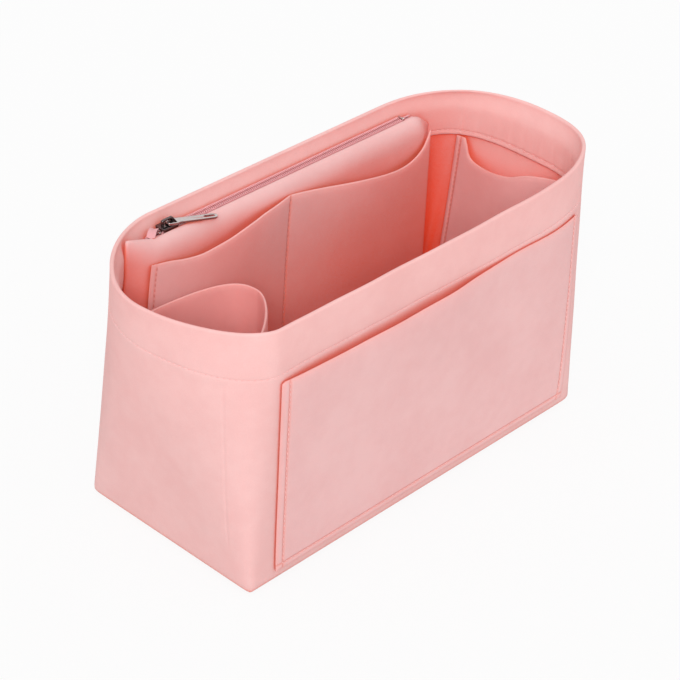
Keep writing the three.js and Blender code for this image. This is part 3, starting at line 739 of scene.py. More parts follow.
def tape_look(name, colour):
    """Woven tape: fine ribs along it."""
    look, tree, shader = principled(name, colour)
    ribs = node(tree, "TexWave", {"Vector": object_place(tree), **TAPE_RIBS}).outputs["Fac"]
    plug(tree, shader, {
        "Base Color": tinted(tree, ribs, 0, 1, colour, TAPE_DARK_SHARES),
        "Normal": bumped(tree, ribs, TAPE_BUMP_STRENGTH, TAPE_BUMP_HEIGHT),
        "Roughness": TAPE_ROUGHNESS,
        "Sheen Weight": TAPE_SHEEN,
    })
    return look


def plain_look(name, colour, roughness, metallic):
    """Moulded, spun or plated: one colour with a faint unevenness in its gloss."""
    look, tree, shader = principled(name, colour)
    grain = noise(tree, object_place(tree), PLAIN_GRAIN)
    spread = {"To Min": roughness * (1 - GLOSS_SPREAD), "To Max": roughness * (1 + GLOSS_SPREAD)}
    plug(tree, shader, {
        "Base Color": tinted(tree, grain, PLAIN_TINT_FROM, PLAIN_TINT_TO, colour,
                             PLAIN_DARK_SHARES),
        "Roughness": node(tree, "MapRange", {"Value": grain, **spread}).outputs["Result"],
        "Metallic": metallic,
    })
    return look


# Name, what it is for, and default of each colour.
COLOURS = {
    "body_felt": ("Body felt", "Colour of the tub's felt", (0.985, 0.70, 0.68)),
    "pocket_felt": ("Pocket felt", "Colour of the pockets' thinner felt", (0.985, 0.69, 0.68)),
    # Painted shade: the deep red painted on the felt where it is closed in, standing in for
    # shade.
    "hollow": ("Hollow", "Colour of the felt deep in the tub and its pockets",
               (1.0, 0.12, 0.045)),
    # Painted shade in seams and narrow gaps, also painted as a glow along thin edges.
    "crease": ("Crease", "Colour of the felt in its seams and narrow gaps", (0.90, 0.22, 0.13)),
    "thread": ("Thread", "Colour of the sewing thread", (0.93, 0.56, 0.54)),
    # A shaded copy of the thread colour: painted shade on the stitches inside the tub.
    "inner_thread": ("Inner thread", "Colour of the sewing thread inside the tub",
                     (0.76, 0.31, 0.28)),
    "tape": ("Zip tape", "Colour of the zip's woven tape", (0.80, 0.40, 0.42)),
    "coil": ("Zip coil", "Colour of the zip's nylon coil", (0.86, 0.44, 0.46)),
    "nickel": ("Nickel", "Colour of the slider's plating", (0.62, 0.57, 0.56)),
    # A darker copy of the nickel: painted shade and dark reflections on the slider and its
    # bridge.
    "slider": ("Slider", "Colour of the slider's darker plating", (0.16, 0.13, 0.13)),
}

# Name, what it is, least value and default of each size, in metres.
SIZES = {
    "stitch_length": ("Stitch length", "Length of one stitch as it shows", 0.001, 0.0024),
    "stitch_gap": ("Stitch gap", "Gap from one stitch to the next", 0.0001, 0.0009),
    "thread_width": ("Thread width", "Width of the sewing thread", 0.0001, 0.00048),
    "metal_edge": ("Metal edge", "Rounding of the slider's and tab's edges", 0.00001, 0.00022),
}


class InsertColours(bpy.types.PropertyGroup):
    __annotations__ = {
        key: bpy.props.FloatVectorProperty(name=name, description=about, subtype="COLOR", size=3,
                                           min=0, max=1, default=default)
        for key, (name, about, default) in COLOURS.items()
    }


class InsertSizes(bpy.types.PropertyGroup):
    __annotations__ = {
        key: bpy.props.FloatProperty(name=name, description=about, subtype="DISTANCE",
                                     unit="LENGTH", min=least, default=default)
        for key, (name, about, least, default) in SIZES.items()
    }


def colours():
    return bpy.context.scene.insert_colours


def sizes():
    return bpy.context.scene.insert_sizes


LOOKS = {}


def look_of(kind):
    """The material of a kind, made once."""
    if kind not in LOOKS:
        if kind in PLAIN_LOOKS:
            plain = PLAIN_LOOKS[kind]
            colour = getattr(colours(), plain["colour"])
            LOOKS[kind] = plain_look(kind, colour, plain["roughness"], plain["metallic"])
        elif kind == "zip_tape":
            LOOKS[kind] = tape_look(kind, colours().tape)
        else:
            LOOKS[kind] = felt_look(kind, getattr(colours(), kind))
    return LOOKS[kind]


def upright_seams():
    """Upright seams that show outside: place along the tub, and their lower and upper ends."""
    return ((LOOP_FRONT + SIDE_SEAM_INSET, LOOP_FOOT, HEM_FOOT),
            (END_POCKET_FRONT + SLIP_SEAM_INSET, FLOOR_TOP, HEM_FOOT),
            (END_POCKET_BACK - SLIP_SEAM_INSET, FLOOR_TOP, HEM_FOOT))


def body_seams(along, z):
    """How deep the seams press into the tub's outside."""
    total = FAINT_SEAM_SHARE * bell(z - HEM_SEAM, SEAM_WIDTH)
    for place, low, high in upright_seams():
        end = smooth(low - SEAM_WIDTH, low + SEAM_WIDTH, z)
        end = end * (1 - smooth(high - SEAM_WIDTH, high + SEAM_WIDTH, z))
        total = total + FAINT_SEAM_SHARE * bell(along - place, SEAM_WIDTH) * end
    return SEAM_DEPTH * np.minimum(total, 1)


def body_section():
    """The section of the wall: its depth and height, and which face each point is on."""
    lip = BODY_FELT / 2
    rim_round = RIM_THICKNESS / 2
    rim = TUB_HEIGHT - rim_round
    hem_low = HEM_FOOT + lip
    taper = HEM_THICKNESS - RIM_THICKNESS
    turn = np.linspace(0, math.pi, RIM_STEPS + 1)[1:-1]

    def levels(start, finish, seams=()):
        return mix(start, finish, spaced(abs(finish - start), radius=lip, seams=seams))

    out = [(0, z, OUTER_FACE) for z in levels(lip, rim, (HEM_SEAM - lip,))]
    over = [(rim_round * (1 - math.cos(t)), rim + rim_round * math.sin(t), 0) for t in turn]
    hem = [(HEM_THICKNESS - taper * smooth(rim - RIM_TAPER_RUN, rim, z), z, HEM_FACE)
           for z in levels(rim, hem_low, (rim - HEM_SEAM,))]
    under = [(BODY_FELT + lip + lip * math.cos(t), hem_low - lip * math.sin(t), 0)
             for t in turn[:-1]]
    inside = [(BODY_FELT, z, INNER_FACE) for z in levels(HEM_FOOT + lip / 2, lip)]
    foot = [(lip + lip * math.cos(t), lip - lip * math.sin(t), 0) for t in turn]
    return np.array([*out, *over, *hem, *under, *inside, *foot])


def hem_ripple(along, z):
    """Fine upright ripples where the hem is drawn in at the right end."""
    turn = 2 * math.pi * along / RIPPLE_LENGTH
    wobble = np.sin(turn) + np.sin(turn / RIPPLE_RATIO + 1) / 2
    lower = 1 - smooth(HEM_FOOT, TUB_HEIGHT, z)
    return RIPPLE_HEIGHT * bell(along - RIGHT_MIDDLE, RIPPLE_SPREAD) * wobble * lower


def body_depth(along, z, depth, face):
    """The depth of a point of the wall's section once seams and puffs have moved it."""
    press = FAINT_SEAM_SHARE * SEAM_DEPTH * bell(z - HEM_SEAM, SEAM_WIDTH)
    rise = np.clip((z - HEM_SEAM) / (TUB_HEIGHT - HEM_SEAM), 0, 1)
    puff = HEM_PUFF * np.sin(math.pi * rise)
    hem = depth - press + puff * loose(along) + hem_ripple(along, z)
    outer = depth + body_seams(along, z)
    moved = np.where(face == OUTER_FACE, outer, np.where(face == HEM_FACE, hem, depth))
    return moved + FOOT_ROUND * quarter_fall(1 - z / FOOT_ROUND)


class INSERT_OT_body(bpy.types.Operator):
    """Builds the folded felt strip that makes the tub's walls and hem"""
    bl_idname = "insert.body"
    bl_label = "Body sheet"

    def execute(self, context):
        section = body_section()
        seams = [place for place, low, high in upright_seams()]
        along = spaced(WHOLE_WAY, seams=seams)[:-1] * WHOLE_WAY
        grid_along, depth = np.meshgrid(along, section[:, 0], indexing="ij")
        z, face = (np.broadcast_to(section[:, k], depth.shape) for k in (1, 2))
        loops = sheet(grid_along, z, body_depth(grid_along, z, depth, face))
        points, faces = loft(list(loops), closed_way=True)
        # Painted shade: the inner face and the hem are painted deeper towards the right end, the
        # inner face most in a recess at the right end, and the outer face not at all.
        across = smooth(-HALF_LENGTH, HALF_LENGTH, loops[..., 0])
        painted_recess_shade = RECESS_PAINTED_SHADE * bell(grid_along - RIGHT_MIDDLE - HALF_WIDTH, RECESS_SHADE_SPREAD)
        inside = mix(LEFT_PAINTED_SHADE, RIGHT_PAINTED_SHADE, across)
        hollow = np.where(face == INNER_FACE, inside + painted_recess_shade,
                          np.where(face == HEM_FACE, inside, 0))
        make_piece("felt_body", points, faces, "body_felt",
                   ("front_wall", "right_end_wall", "back_wall", "left_end_wall"), hollow.ravel())
        return {"FINISHED"}


class INSERT_OT_base(bpy.types.Operator):
    """Builds the base panel inside the foot of the walls"""
    bl_idname = "insert.base"
    bl_label = "Base panel"

    def execute(self, context):
        along = np.linspace(0, WHOLE_WAY, round(WHOLE_WAY / GRID_STEP), endpoint=False)
        half = np.array([HALF_LENGTH, HALF_WIDTH])
        outline = sheet(along, 0, 0)[:, :2] * (1 - BASE_EDGE_DEPTH / half)
        inner = np.linspace(1 / BASE_RINGS, 1, BASE_RINGS)
        lip = BODY_FELT / 2
        edge = [(1 - lip / HALF_WIDTH * (1 - math.sin(t)), lip * (1 - math.cos(t)))
                for t in np.linspace(0, math.pi / 2, EDGE_STEPS + 1)]
        near = 1 - np.linspace(2, 0, 2 * SEAM_STEPS + 1) * 2 * SEAM_WIDTH / BASE_WIDTH
        near = near * BASE_SEAM_SHARE
        scales = np.unique(np.concatenate([inner[inner < near[0]], near]))
        low = [(s, SEAM_DEPTH * bell((s - BASE_SEAM_SHARE) * HALF_WIDTH, SEAM_WIDTH))
               for s in scales if s < 1 - BASE_FLAT_RUN * lip / HALF_WIDTH]
        rings = [*low, *edge]
        rings += [(scale, BODY_FELT - z) for scale, z in reversed(rings)]
        loops = [np.column_stack([outline * scale, np.full(len(outline), z)])
                 for scale, z in rings]
        points, faces = loft(loops)
        # Painted shade: the base's upper face takes a full share of it, its underside none.
        make_piece("felt_base", points, faces, "body_felt", ("base_panel",),
                   (points[:, 2] > BODY_FELT / 2) * 1)
        return {"FINISHED"}


def front_pocket_grid():
    """The outside pocket's outer face, as a grid, with its places, its seams and its size."""
    left = FRONT_POCKET_LEFT_INSET - HALF_LENGTH
    right = HALF_LENGTH - FRONT_POCKET_RIGHT_INSET
    mouth = HEM_FOOT - FRONT_POCKET_MOUTH_DROP
    length, height = right - left, mouth - FRONT_POCKET_LIFT
    us = spaced(length, seams=(SIDE_SEAM_INSET, length - SIDE_SEAM_INSET))
    vs = spaced(height, seams=(FOOT_SEAM_INSET,))
    across, up = np.meshgrid(us, vs)
    gape = FRONT_POCKET_GAPE * spline_height(FRONT_GAPE_SHARES, across) * up ** 3
    puff = FRONT_POCKET_PUFF * np.sin(math.pi * across) * np.sin(math.pi * up)
    side = np.minimum(across, 1 - across) * length
    drop = ROUND_CORNER * quarter_fall(1 - side / ROUND_CORNER)
    rise = FRONT_MOUTH_RISE * spline_height(FRONT_RISE_SHARES, across)
    z = mix(FRONT_POCKET_LIFT, mouth + rise - drop, up)
    skin = sheet(mix(left, right, across), z, -(SEAT_GAP + gape + puff + POCKET_FELT))
    seam = np.maximum(bell(side - SIDE_SEAM_INSET, SEAM_WIDTH),
                      bell(up * height - FOOT_SEAM_INSET, SEAM_WIDTH))
    return us, vs, skin, seam, (length, height)


class INSERT_OT_front_pocket(bpy.types.Operator):
    """Builds the outside pocket's panel with its pressed seams and gaping mouth"""
    bl_idname = "insert.front_pocket"
    bl_label = "Outside pocket"

    def execute(self, context):
        # Painted shade in its pressed seams and painted glow along its edges.
        panel("front_pocket", front_pocket_grid(), ("front_pocket_panel",), tint=FRONT_SEAM_SHADE_AND_GLOW)
        return {"FINISHED"}


def pouch_x(z, side):
    """The x of the pouch's left edge, side -1, or right edge, side 1, at heights."""
    top, power = POUCH_LEFT_TOP, POUCH_LEFT_BEND_SHARE
    if side > 0:
        top, power = POUCH_RIGHT_TOP, POUCH_RIGHT_BEND_SHARE
    fall = np.maximum(1 - z / POUCH_TOP, 0) ** power
    return side * mix(top, POUCH_FOOT, fall)


def pouch_rows():
    """The pouch panel's section, row by row: y, height and place, and the panel's own height."""
    rise = ROLL_FOOT - FLOOR_TOP
    roll = math.pi / 2 * math.hypot(SLOT_FRONT_Y - POUCH_FACE_Y, POUCH_ROLL_DROP) / math.sqrt(2)
    places = spaced(rise + roll) * (rise + roll)
    turn = np.clip((places - rise) / roll, 0, 1) * math.pi / 2
    y = SLOT_FRONT_Y - (SLOT_FRONT_Y - POUCH_FACE_Y) * np.cos(turn)
    z = np.minimum(FLOOR_TOP + places, ROLL_FOOT) + POUCH_ROLL_DROP * np.sin(turn)
    return y, z, places / places[-1], rise + roll


def pouch_end(y, z, side):
    """One end of the pouch, from the wall slantwise to its corner and round it."""
    depth = HEM_THICKNESS + CORNER_GAP
    near_top = smooth(ROLL_FOOT - POUCH_ROLL_DROP, POUCH_TOP, z)
    top, run, tuck = LEFT_END_TOP, LEFT_END_RUN, LEFT_CORNER_TUCK
    if side > 0:
        top, run, tuck = RIGHT_END_TOP, GUSSET_RUN, RIGHT_CORNER_TUCK
    x = pouch_x(z, side)
    gusset_z = FLOOR_TOP + (z - FLOOR_TOP) * (top - FLOOR_TOP) / (POUCH_TOP - FLOOR_TOP)
    along = back_along(x + side * mix(GUSSET_RUN, run, near_top), gusset_z, depth)
    wall = sheet(along, gusset_z, depth)
    corner = np.column_stack([x - side * tuck * near_top, y, z])
    start = corner + unit(wall - corner) * POUCH_CORNER
    finish = corner - np.array([side * POUCH_CORNER, 0, 0])
    straight = [mix(wall, start, t) for t in np.linspace(0, 1, GUSSET_STEPS + 1)[:-1]]
    turned = [bend(start, corner, finish, t) for t in np.linspace(0, 1, POUCH_CORNER_STEPS + 1)]
    return np.stack([*straight, *turned], axis=1)


def pouch_grid():
    """The pouch's front and ends, as one grid, with its places and its size."""
    y, z, vs, height = pouch_rows()
    left = pouch_end(y, z, -1)
    right = pouch_end(y, z, 1)[:, ::-1]
    columns = np.linspace(0, 1, round((POUCH_LEFT_TOP + POUCH_RIGHT_TOP) / GRID_STEP))[1:-1]
    front = mix(left[:, -1:], right[:, :1], columns[None, :, None])
    skin = np.concatenate([left, front, right], axis=1)
    way = way_along(skin[0])
    return way / way[-1], vs, skin, 0.0, (way[-1], height)


class INSERT_OT_pouch(bpy.types.Operator):
    """Builds the zip pouch's front and its two slanting ends as one bent sheet"""
    bl_idname = "insert.pouch"
    bl_label = "Zip pouch"

    def execute(self, context):
        nodes = ("pouch_front_panel", "pouch_left_gusset", "pouch_right_gusset")
        # Painted shade: an even share of it over the whole pouch sheet.
        panel("pouch_front", pouch_grid(), nodes, hollow=POUCH_PAINTED_SHADE)
        return {"FINISHED"}


def slip_mouth(across):
    """The slip pockets' mouth height and how far they swell, at places along them."""
    left = across < DIVIDER_SHARE
    share = np.where(left, across / DIVIDER_SHARE, (across - DIVIDER_SHARE) / (1 - DIVIDER_SHARE))
    dip = np.where(left, spline_height(LEFT_MOUTH_SHARES, share),
                   spline_height(RIGHT_MOUTH_SHARES, share))
    gape = np.where(left, SLIP_GAPE_LEFT, SLIP_GAPE_RIGHT)
    swell = gape * np.maximum(np.sin(math.pi * share ** SLIP_LEAN_SHARE), 0)
    return TUB_HEIGHT - SLIP_MOUTH_DROP - dip * SLIP_DIP, swell


def slip_grid():
    """The slip pockets' outer face, as a grid, with its places, its seams and its size."""
    length = POUCH_LEFT_TOP + POUCH_FOOT
    height = TUB_HEIGHT - SLIP_MOUTH_DROP - FLOOR_TOP
    divider = DIVIDER_SHARE * length
    us = spaced(length, seams=(SLIP_SEAM_INSET, divider, length - SLIP_SEAM_INSET))
    vs = spaced(height)
    across, up = np.meshgrid(us, vs)
    mouth, swell = slip_mouth(across)
    z = mix(FLOOR_TOP, mouth, up)
    x = mix(pouch_x(z, -1), pouch_x(z, 1), across)
    stand = SEAT_GAP + swell * up ** 2 + POCKET_FELT
    skin = np.stack([x, POUCH_FACE_Y - stand, z], axis=-1)
    seam = np.maximum(bell(across * length - SLIP_SEAM_INSET, SEAM_WIDTH) / 2,
                      bell(across * length - divider, SEAM_WIDTH))
    return us, vs, skin, seam, (length, height)


def slip_painted_shade(points):
    """How much shade is painted on the slip pockets: little at their left, and more to the right.
    """
    return mix(SLIP_LEFT_PAINTED_SHADE, SLIP_PAINTED_SHADE, smooth(SLIP_SHADE_FROM_X, SLIP_SHADE_TO_X, points[:, 0]))


class INSERT_OT_slip_pockets(bpy.types.Operator):
    """Builds the panel of the two slip pockets, sewn down between them"""
    bl_idname = "insert.slip_pockets"
    bl_label = "Slip pockets"

    def execute(self, context):
        grid = slip_grid()
        us, vs, size = grid[0], grid[1], grid[-1]
        tuck = 1 - smooth(0, 1, us[None, :] * size[0] / SLIP_TUCK_RUN)
        thin = 1 - SLIP_TUCK * tuck * smooth(SLIP_TUCK_FROM, 1, vs)[:, None]
        # Painted shade over the slip pockets, and painted shade in their seams and painted glow
        # along their edges.
        panel("slip_pockets", grid, ("slip_pocket_panel",), hollow=slip_painted_shade,
              tint=INNER_SEAM_SHADE_AND_GLOW, thin=thin)
        return {"FINISHED"}


def loop_skin(across, up):
    """The bottle loop's outer face."""
    across, up = np.broadcast_arrays(np.asarray(across, float), np.asarray(up, float))
    depth = BODY_FELT + CORNER_GAP
    z = mix(LOOP_FOOT, LOOP_TOP, up)
    at_back = across < 1 / 2
    root = sheet(np.where(at_back, LOOP_BACK, LOOP_FRONT), z, depth)
    power = np.where(at_back, LOOP_BACK_POWER_SHARE, LOOP_FRONT_POWER_SHARE)
    angle = np.where(at_back, across, 1 - across) * math.pi
    reach = np.maximum(np.sin(angle), 0) ** (2 / power)
    swing = np.maximum(np.cos(angle), 0) ** (2 / power)
    x = mix(root[..., 0], LOOP_REACH - HALF_LENGTH, reach)
    return np.stack([x, mix(LOOP_TIP_Y, root[..., 1], swing), z], axis=-1)


def loop_grid():
    """The bottle loop's outer face, as a grid, with even places along it and its size."""
    fine = np.linspace(0, 1, LOOP_FINE_STEPS)
    way = way_along(loop_skin(fine, 1 / 2))
    across = np.interp(spaced(way[-1], step=GRID_STEP / 2) * way[-1], way, fine)
    height = LOOP_TOP - LOOP_FOOT
    vs = spaced(height)
    skin = loop_skin(*np.meshgrid(across, vs))
    line = way_along(skin[len(vs) // 2])
    return line / line[-1], vs, skin, 0.0, (way[-1], height)


class INSERT_OT_bottle_loop(bpy.types.Operator):
    """Builds the felt loop that holds a bottle against the left end"""
    bl_idname = "insert.bottle_loop"
    bl_label = "Bottle loop"

    def execute(self, context):
        # Painted shade over the loop, and painted glow along its edges.
        panel("bottle_loop", loop_grid(), ("bottle_holder_loop",), hollow=LOOP_PAINTED_SHADE,
              tint=INNER_SEAM_SHADE_AND_GLOW, flip=True)
        return {"FINISHED"}


def end_pocket_grid():
    """The end pocket's outer face, as a grid, with its places, its seams and its size."""
    highest = HEM_FOOT - SEAT_GAP
    length, height = END_POCKET_BACK - END_POCKET_FRONT, highest - FLOOR_TOP
    us = spaced(length, seams=(SLIP_SEAM_INSET, length - SLIP_SEAM_INSET))
    vs = spaced(height)
    across, up = np.meshgrid(us, vs)
    mouth = highest - spline_height(END_MOUTH_SHARES, across) * END_POCKET_DIP
    z = mix(FLOOR_TOP, mouth, up)
    swell = END_POCKET_GAPE * np.sin(math.pi * across) * (z / highest) ** 2
    along = mix(END_POCKET_FRONT, END_POCKET_BACK, across)
    skin = sheet(along, z, BODY_FELT + CORNER_GAP + swell + POCKET_FELT)
    side = np.minimum(across, 1 - across) * length
    return us, vs, skin, bell(side - SLIP_SEAM_INSET, SEAM_WIDTH), (length, height)


class INSERT_OT_end_pocket(bpy.types.Operator):
    """Builds the sagging pocket on the inside of the right end"""
    bl_idname = "insert.end_pocket"
    bl_label = "End pocket"

    def execute(self, context):
        # Painted shade over the end pocket, painted shade in its seams and painted glow along its
        # edges.
        panel("end_pocket", end_pocket_grid(), ("end_pocket_panel",), hollow=END_POCKET_PAINTED_SHADE,
              tint=INNER_SEAM_SHADE_AND_GLOW, flip=True)
        return {"FINISHED"}


def ribbon(name, path, x_places, node_name):
    """A tape along X: path gives its section from one edge to the other at each x."""
    skin = np.stack([path(x) for x in x_places], axis=1)
    way = way_along(skin[:, 0])
    length = x_places[-1] - x_places[0]
    us = (x_places - x_places[0]) / length
    panel(name, (us, way / way[-1], skin, 0.0, (length, way[-1])), (node_name,), "zip_tape")


def tape_section(x, corners, radius):
    """The tape's section at x: a path through corners, rounded and with close points."""
    corners = [np.array(corner, float) for corner in corners]
    path = [corners[0]]
    for before, here, after in zip(corners, corners[1:], corners[2:]):
        arrive = here + unit(before - here) * radius
        leave = here + unit(after - here) * radius
        path += [bend(arrive, here, leave, t) for t in np.linspace(0, 1, EDGE_STEPS + 1)]
    path = np.array([*path, corners[-1]])
    way = way_along(path)
    places = spaced(TAPE_FLANGE, step=TAPE_BEND, radius=TAPE_THICKNESS / 2) * way[-1]
    return np.column_stack([np.full(len(places), x), on_path(path, way, places)])[::-1]


def far_tape_section(x):
    """The far tape: up the hem's face, then over to the chain."""
    depth = HEM_THICKNESS + SEAT_GAP
    flange = TAPE_TOP - TAPE_FLANGE
    low, high = (sheet(back_along(x, z, depth), z, depth) for z in (flange, TAPE_TOP))
    edge = CHAIN_Y + COIL_SPLIT / 2
    corners = ((low[1], flange), (high[1], TAPE_TOP), (edge, TAPE_TOP))
    return tape_section(x, corners, TAPE_BEND)


def near_tape_section(x):
    """The near tape: from the chain flat to the slot, then down behind the pouch's roll."""
    inset = POCKET_FELT + SEAT_GAP
    turn = np.linspace(0, math.pi / 2, EDGE_STEPS + 1)[:-1]
    y = SLOT_FRONT_Y - (SLOT_FRONT_Y - POUCH_FACE_Y - inset) * np.sin(turn)
    z = ROLL_FOOT + (POUCH_ROLL_DROP - inset) * np.cos(turn)
    corners = [(CHAIN_Y - COIL_SPLIT / 2, TAPE_TOP), *zip(y, z)]
    return tape_section(x, corners, TAPE_BEND / 2)


def coil_points(side):
    """The path of one half of the coil: flat turns one pitch apart."""
    left, right = -CHAIN_LEFT, CHAIN_RIGHT
    turns = (right - left) / COIL_PITCH
    steps = round(turns * COIL_TURN_STEPS)
    angle = np.linspace(0, 2 * math.pi * turns, steps + 1) + (math.pi if side < 0 else 0)
    near = COIL_SPLIT / 2 - COIL_REACH + COIL_WIRE
    far = COIL_SPLIT / 2 + COIL_WIDTH - COIL_WIRE
    y = CHAIN_Y + side * ((near + far) / 2 + (far - near) / 2 * np.cos(angle))
    z = COIL_FOOT + COIL_HEIGHT / 2 + (COIL_HEIGHT / 2 - COIL_WIRE) * np.sin(angle)
    return np.column_stack([np.linspace(left + COIL_WIRE, right - COIL_WIRE, steps + 1), y, z])


def coil_tube(path):
    """The coil's wire, a round tube along a path, closed at its ends."""
    way = unit(np.gradient(path, axis=0))
    across = unit(np.cross(way, np.array([0.0, 0.0, 1.0]) + way * UPRIGHT_NUDGE))
    normal = np.cross(across, way)
    angle = np.linspace(0, 2 * math.pi, COIL_SIDES, endpoint=False)[:, None]
    ring = np.cos(angle) * across[:, None] + np.sin(angle) * normal[:, None]
    return loft(list(path[:, None] + COIL_WIRE * ring))


def tail_grid():
    """The spare end of the tapes, which lies slantwise over the pouch's corner."""
    start = Vector(TAIL_START)
    ahead = Vector(TAIL_END) - start
    across = ahead.cross(Vector((0, 0, 1))).normalized()
    us, vs = (spaced(side, step=GRID_STEP / 3, radius=TAPE_THICKNESS / 2)
              for side in (ahead.length, TAIL_WIDTH))
    along, over = np.meshgrid(us, vs)
    skin = np.array(start) + along[..., None] * np.array(ahead)
    skin = skin + (over - 1 / 2)[..., None] * np.array(across) * TAIL_WIDTH
    skin[..., 2] += TAIL_ARCH * np.sin(math.pi * along)
    skin[..., 2] += TAIL_CREASE * np.abs(2 * over - 1)
    return us, vs, skin, 0.0, (ahead.length, TAIL_WIDTH)


def rounded_copy(name, node_name, body, width, kind="zip_metal"):
    """A CAD node's own shape with every sharp edge rounded."""
    piece = add_object(name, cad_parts[node_name].data.copy())
    weld = piece.modifiers.new("weld", "WELD")
    weld.merge_threshold = LEAST_STEP / 10
    merge = piece.modifiers.new("merge", "DECIMATE")
    merge.decimate_type = "DISSOLVE"
    merge.angle_limit = FLAT_ANGLE
    soften = piece.modifiers.new("soften", "BEVEL")
    soften.width = width
    soften.segments = BEVEL_SEGMENTS
    soften.limit_method = "ANGLE"
    soften.angle_limit = BEVEL_ANGLE
    soften.use_clamp_overlap = True
    shown = piece.evaluated_get(bpy.context.evaluated_depsgraph_get())
    piece.data = bpy.data.meshes.new_from_object(shown)
    piece.modifiers.clear()
    piece.data.polygons.foreach_set("use_smooth", [True] * len(piece.data.polygons))
    piece.data.set_sharp_from_angle(angle=SHARP_ANGLE)
    dress(piece, kind, (node_name,), body)


class INSERT_OT_zip(bpy.types.Operator):
    """Builds the zip's tapes, its tail, its coil and its stops"""
    bl_idname = "insert.zip"
    bl_label = "Zip"

    def execute(self, context):
        places = np.linspace(-TAPE_LEFT, TAPE_RIGHT, round((TAPE_LEFT + TAPE_RIGHT) / GRID_STEP))
        edge = np.array([0, 1 / 4, 1 / 2]) * TAPE_THICKNESS
        places = np.concatenate([places[0] + edge, places[1:-1], places[-1] - edge[::-1]])
        ribbon("zip_tape_far", far_tape_section, places, "zip_tape_back")
        ribbon("zip_tape_near", near_tape_section, places, "zip_tape_front")
        for name, side, node_name in (("coil_far", 1, "zip_coil_back"),
                                      ("coil_near", -1, "zip_coil_front")):
            points, faces = coil_tube(coil_points(side))
            make_piece(name, points, faces, "zip_coil", (node_name,))
        for name, node_name in (("top_stop_far", "zip_top_stop_back"),
                                ("top_stop_near", "zip_top_stop_front"),
                                ("bottom_stop", "zip_bottom_stop")):
            rounded_copy(name, node_name, "organizer", 2 * sizes().metal_edge)
        panel("zip_tape_tail", tail_grid(), kind="zip_tape")
        return {"FINISHED"}


class INSERT_OT_slider(bpy.types.Operator):
    """Builds the slider, its bridge and the pull tab with rounded edges"""
    bl_idname = "insert.slider"
    bl_label = "Slider and tab"

    def execute(self, context):
        edge = sizes().metal_edge
        # The slider and its bridge take the darker copy of the nickel, which paints shade and
        # dark reflections on them.
        rounded_copy("slider_shell", "slider_body", "zip_slider", edge, "slider_metal")
        rounded_copy("bridge_strap", "slider_bridge", "zip_slider", edge, "slider_metal")
        rounded_copy("tab_plate", "pull_tab", "pull_tab", edge)
        return {"FINISHED"}


def stitch_template():
    """One stitch of length 1 along X and thickness 1, sunk at both ends."""
    rings = []
    for t in np.linspace(0, 1, STITCH_RINGS):
        away = 2 * t - 1
        swell = mix(STITCH_END_SHARE, 1, math.sqrt(1 - away ** 4)) / 2
        angle = np.linspace(0, 2 * math.pi, STITCH_SIDES, endpoint=False)
        rings.append(np.column_stack([np.full(STITCH_SIDES, away / 2), np.cos(angle) * swell,
                                      np.sin(angle) * swell - away ** 2 / 2]))
    return loft(rings)


def stitched(name, runs, thread="thread"):
    """Stitches along runs of points, each run with the way out of the felt beside it."""
    template, template_faces = stitch_template()
    length, gap, width = sizes().stitch_length, sizes().stitch_gap, sizes().thread_width
    points, faces = [], []
    for path, outs in runs:
        way = way_along(path)
        count = int(way[-1] / (length + gap))
        starts = (np.arange(count) + 1 / 2) * way[-1] / count
        ahead = unit(on_path(path, way, starts + length / 2)
                     - on_path(path, way, starts - length / 2))
        across = unit(np.cross(unit(on_path(outs, way, starts)), ahead))
        out = np.cross(ahead, across)
        for m, a, c, o in zip(on_path(path, way, starts), ahead, across, out):
            spot = template[:, :1] * a * length + template[:, 1:2] * c * width
            offset = len(points) * len(template)
            points.append(spot + (template[:, 2:] + 1 / 4) * o * width + m)
            faces += [[offset + i for i in face] for face in template_faces]
    make_piece(name, np.concatenate(points), faces, thread)


def wall_run(along, z, face):
    """A run along the wall's outside or its hem."""
    depth = np.full(along.shape, HEM_THICKNESS if face == HEM_FACE else 0.0)
    depth = body_depth(along, z, depth, np.full(along.shape, face))
    path = sheet(along, z, depth)
    behind = sheet(along, z, depth - (PROBE if face == OUTER_FACE else -PROBE))
    return path, unit(behind - path)


def grid_runs(grid, lines, flip=False):
    """Runs over a grid's pressed face, along lines of places across and up."""
    us, vs, skin, seam, size = grid
    normals = grid_normals(skin) * (-1 if flip else 1)
    pressed = skin - normals * SEAM_DEPTH / 2 * seam[..., None]
    runs = []
    for across, up in lines:
        row = np.interp(up, vs, np.arange(len(vs)))
        column = np.interp(across, us, np.arange(len(us)))
        runs.append((between(pressed, row, column), between(normals, row, column)))
    return runs


def upright_lines(height, places):
    """Lines up a grid at places across it, short of its edges."""
    margin = 2 * EDGE_RADIUS / height
    up = np.linspace(margin, 1 - margin, LINE_STEPS)
    return [(np.full(LINE_STEPS, place), up) for place in places]


def front_pocket_line(size):
    """The line of stitches down one side of the outside pocket, along it and up again."""
    length, height = size
    inset, foot = SIDE_SEAM_INSET / length, FOOT_SEAM_INSET / height
    down = np.linspace(1 - 2 * EDGE_RADIUS / height, foot, LINE_STEPS)
    along = np.linspace(inset, 1 - inset, FOOT_LINE_STEPS)[1:-1]
    across = np.concatenate([np.full(LINE_STEPS, inset), along, np.full(LINE_STEPS, 1 - inset)])
    return across, np.concatenate([down, np.full(len(along), foot), down[::-1]])


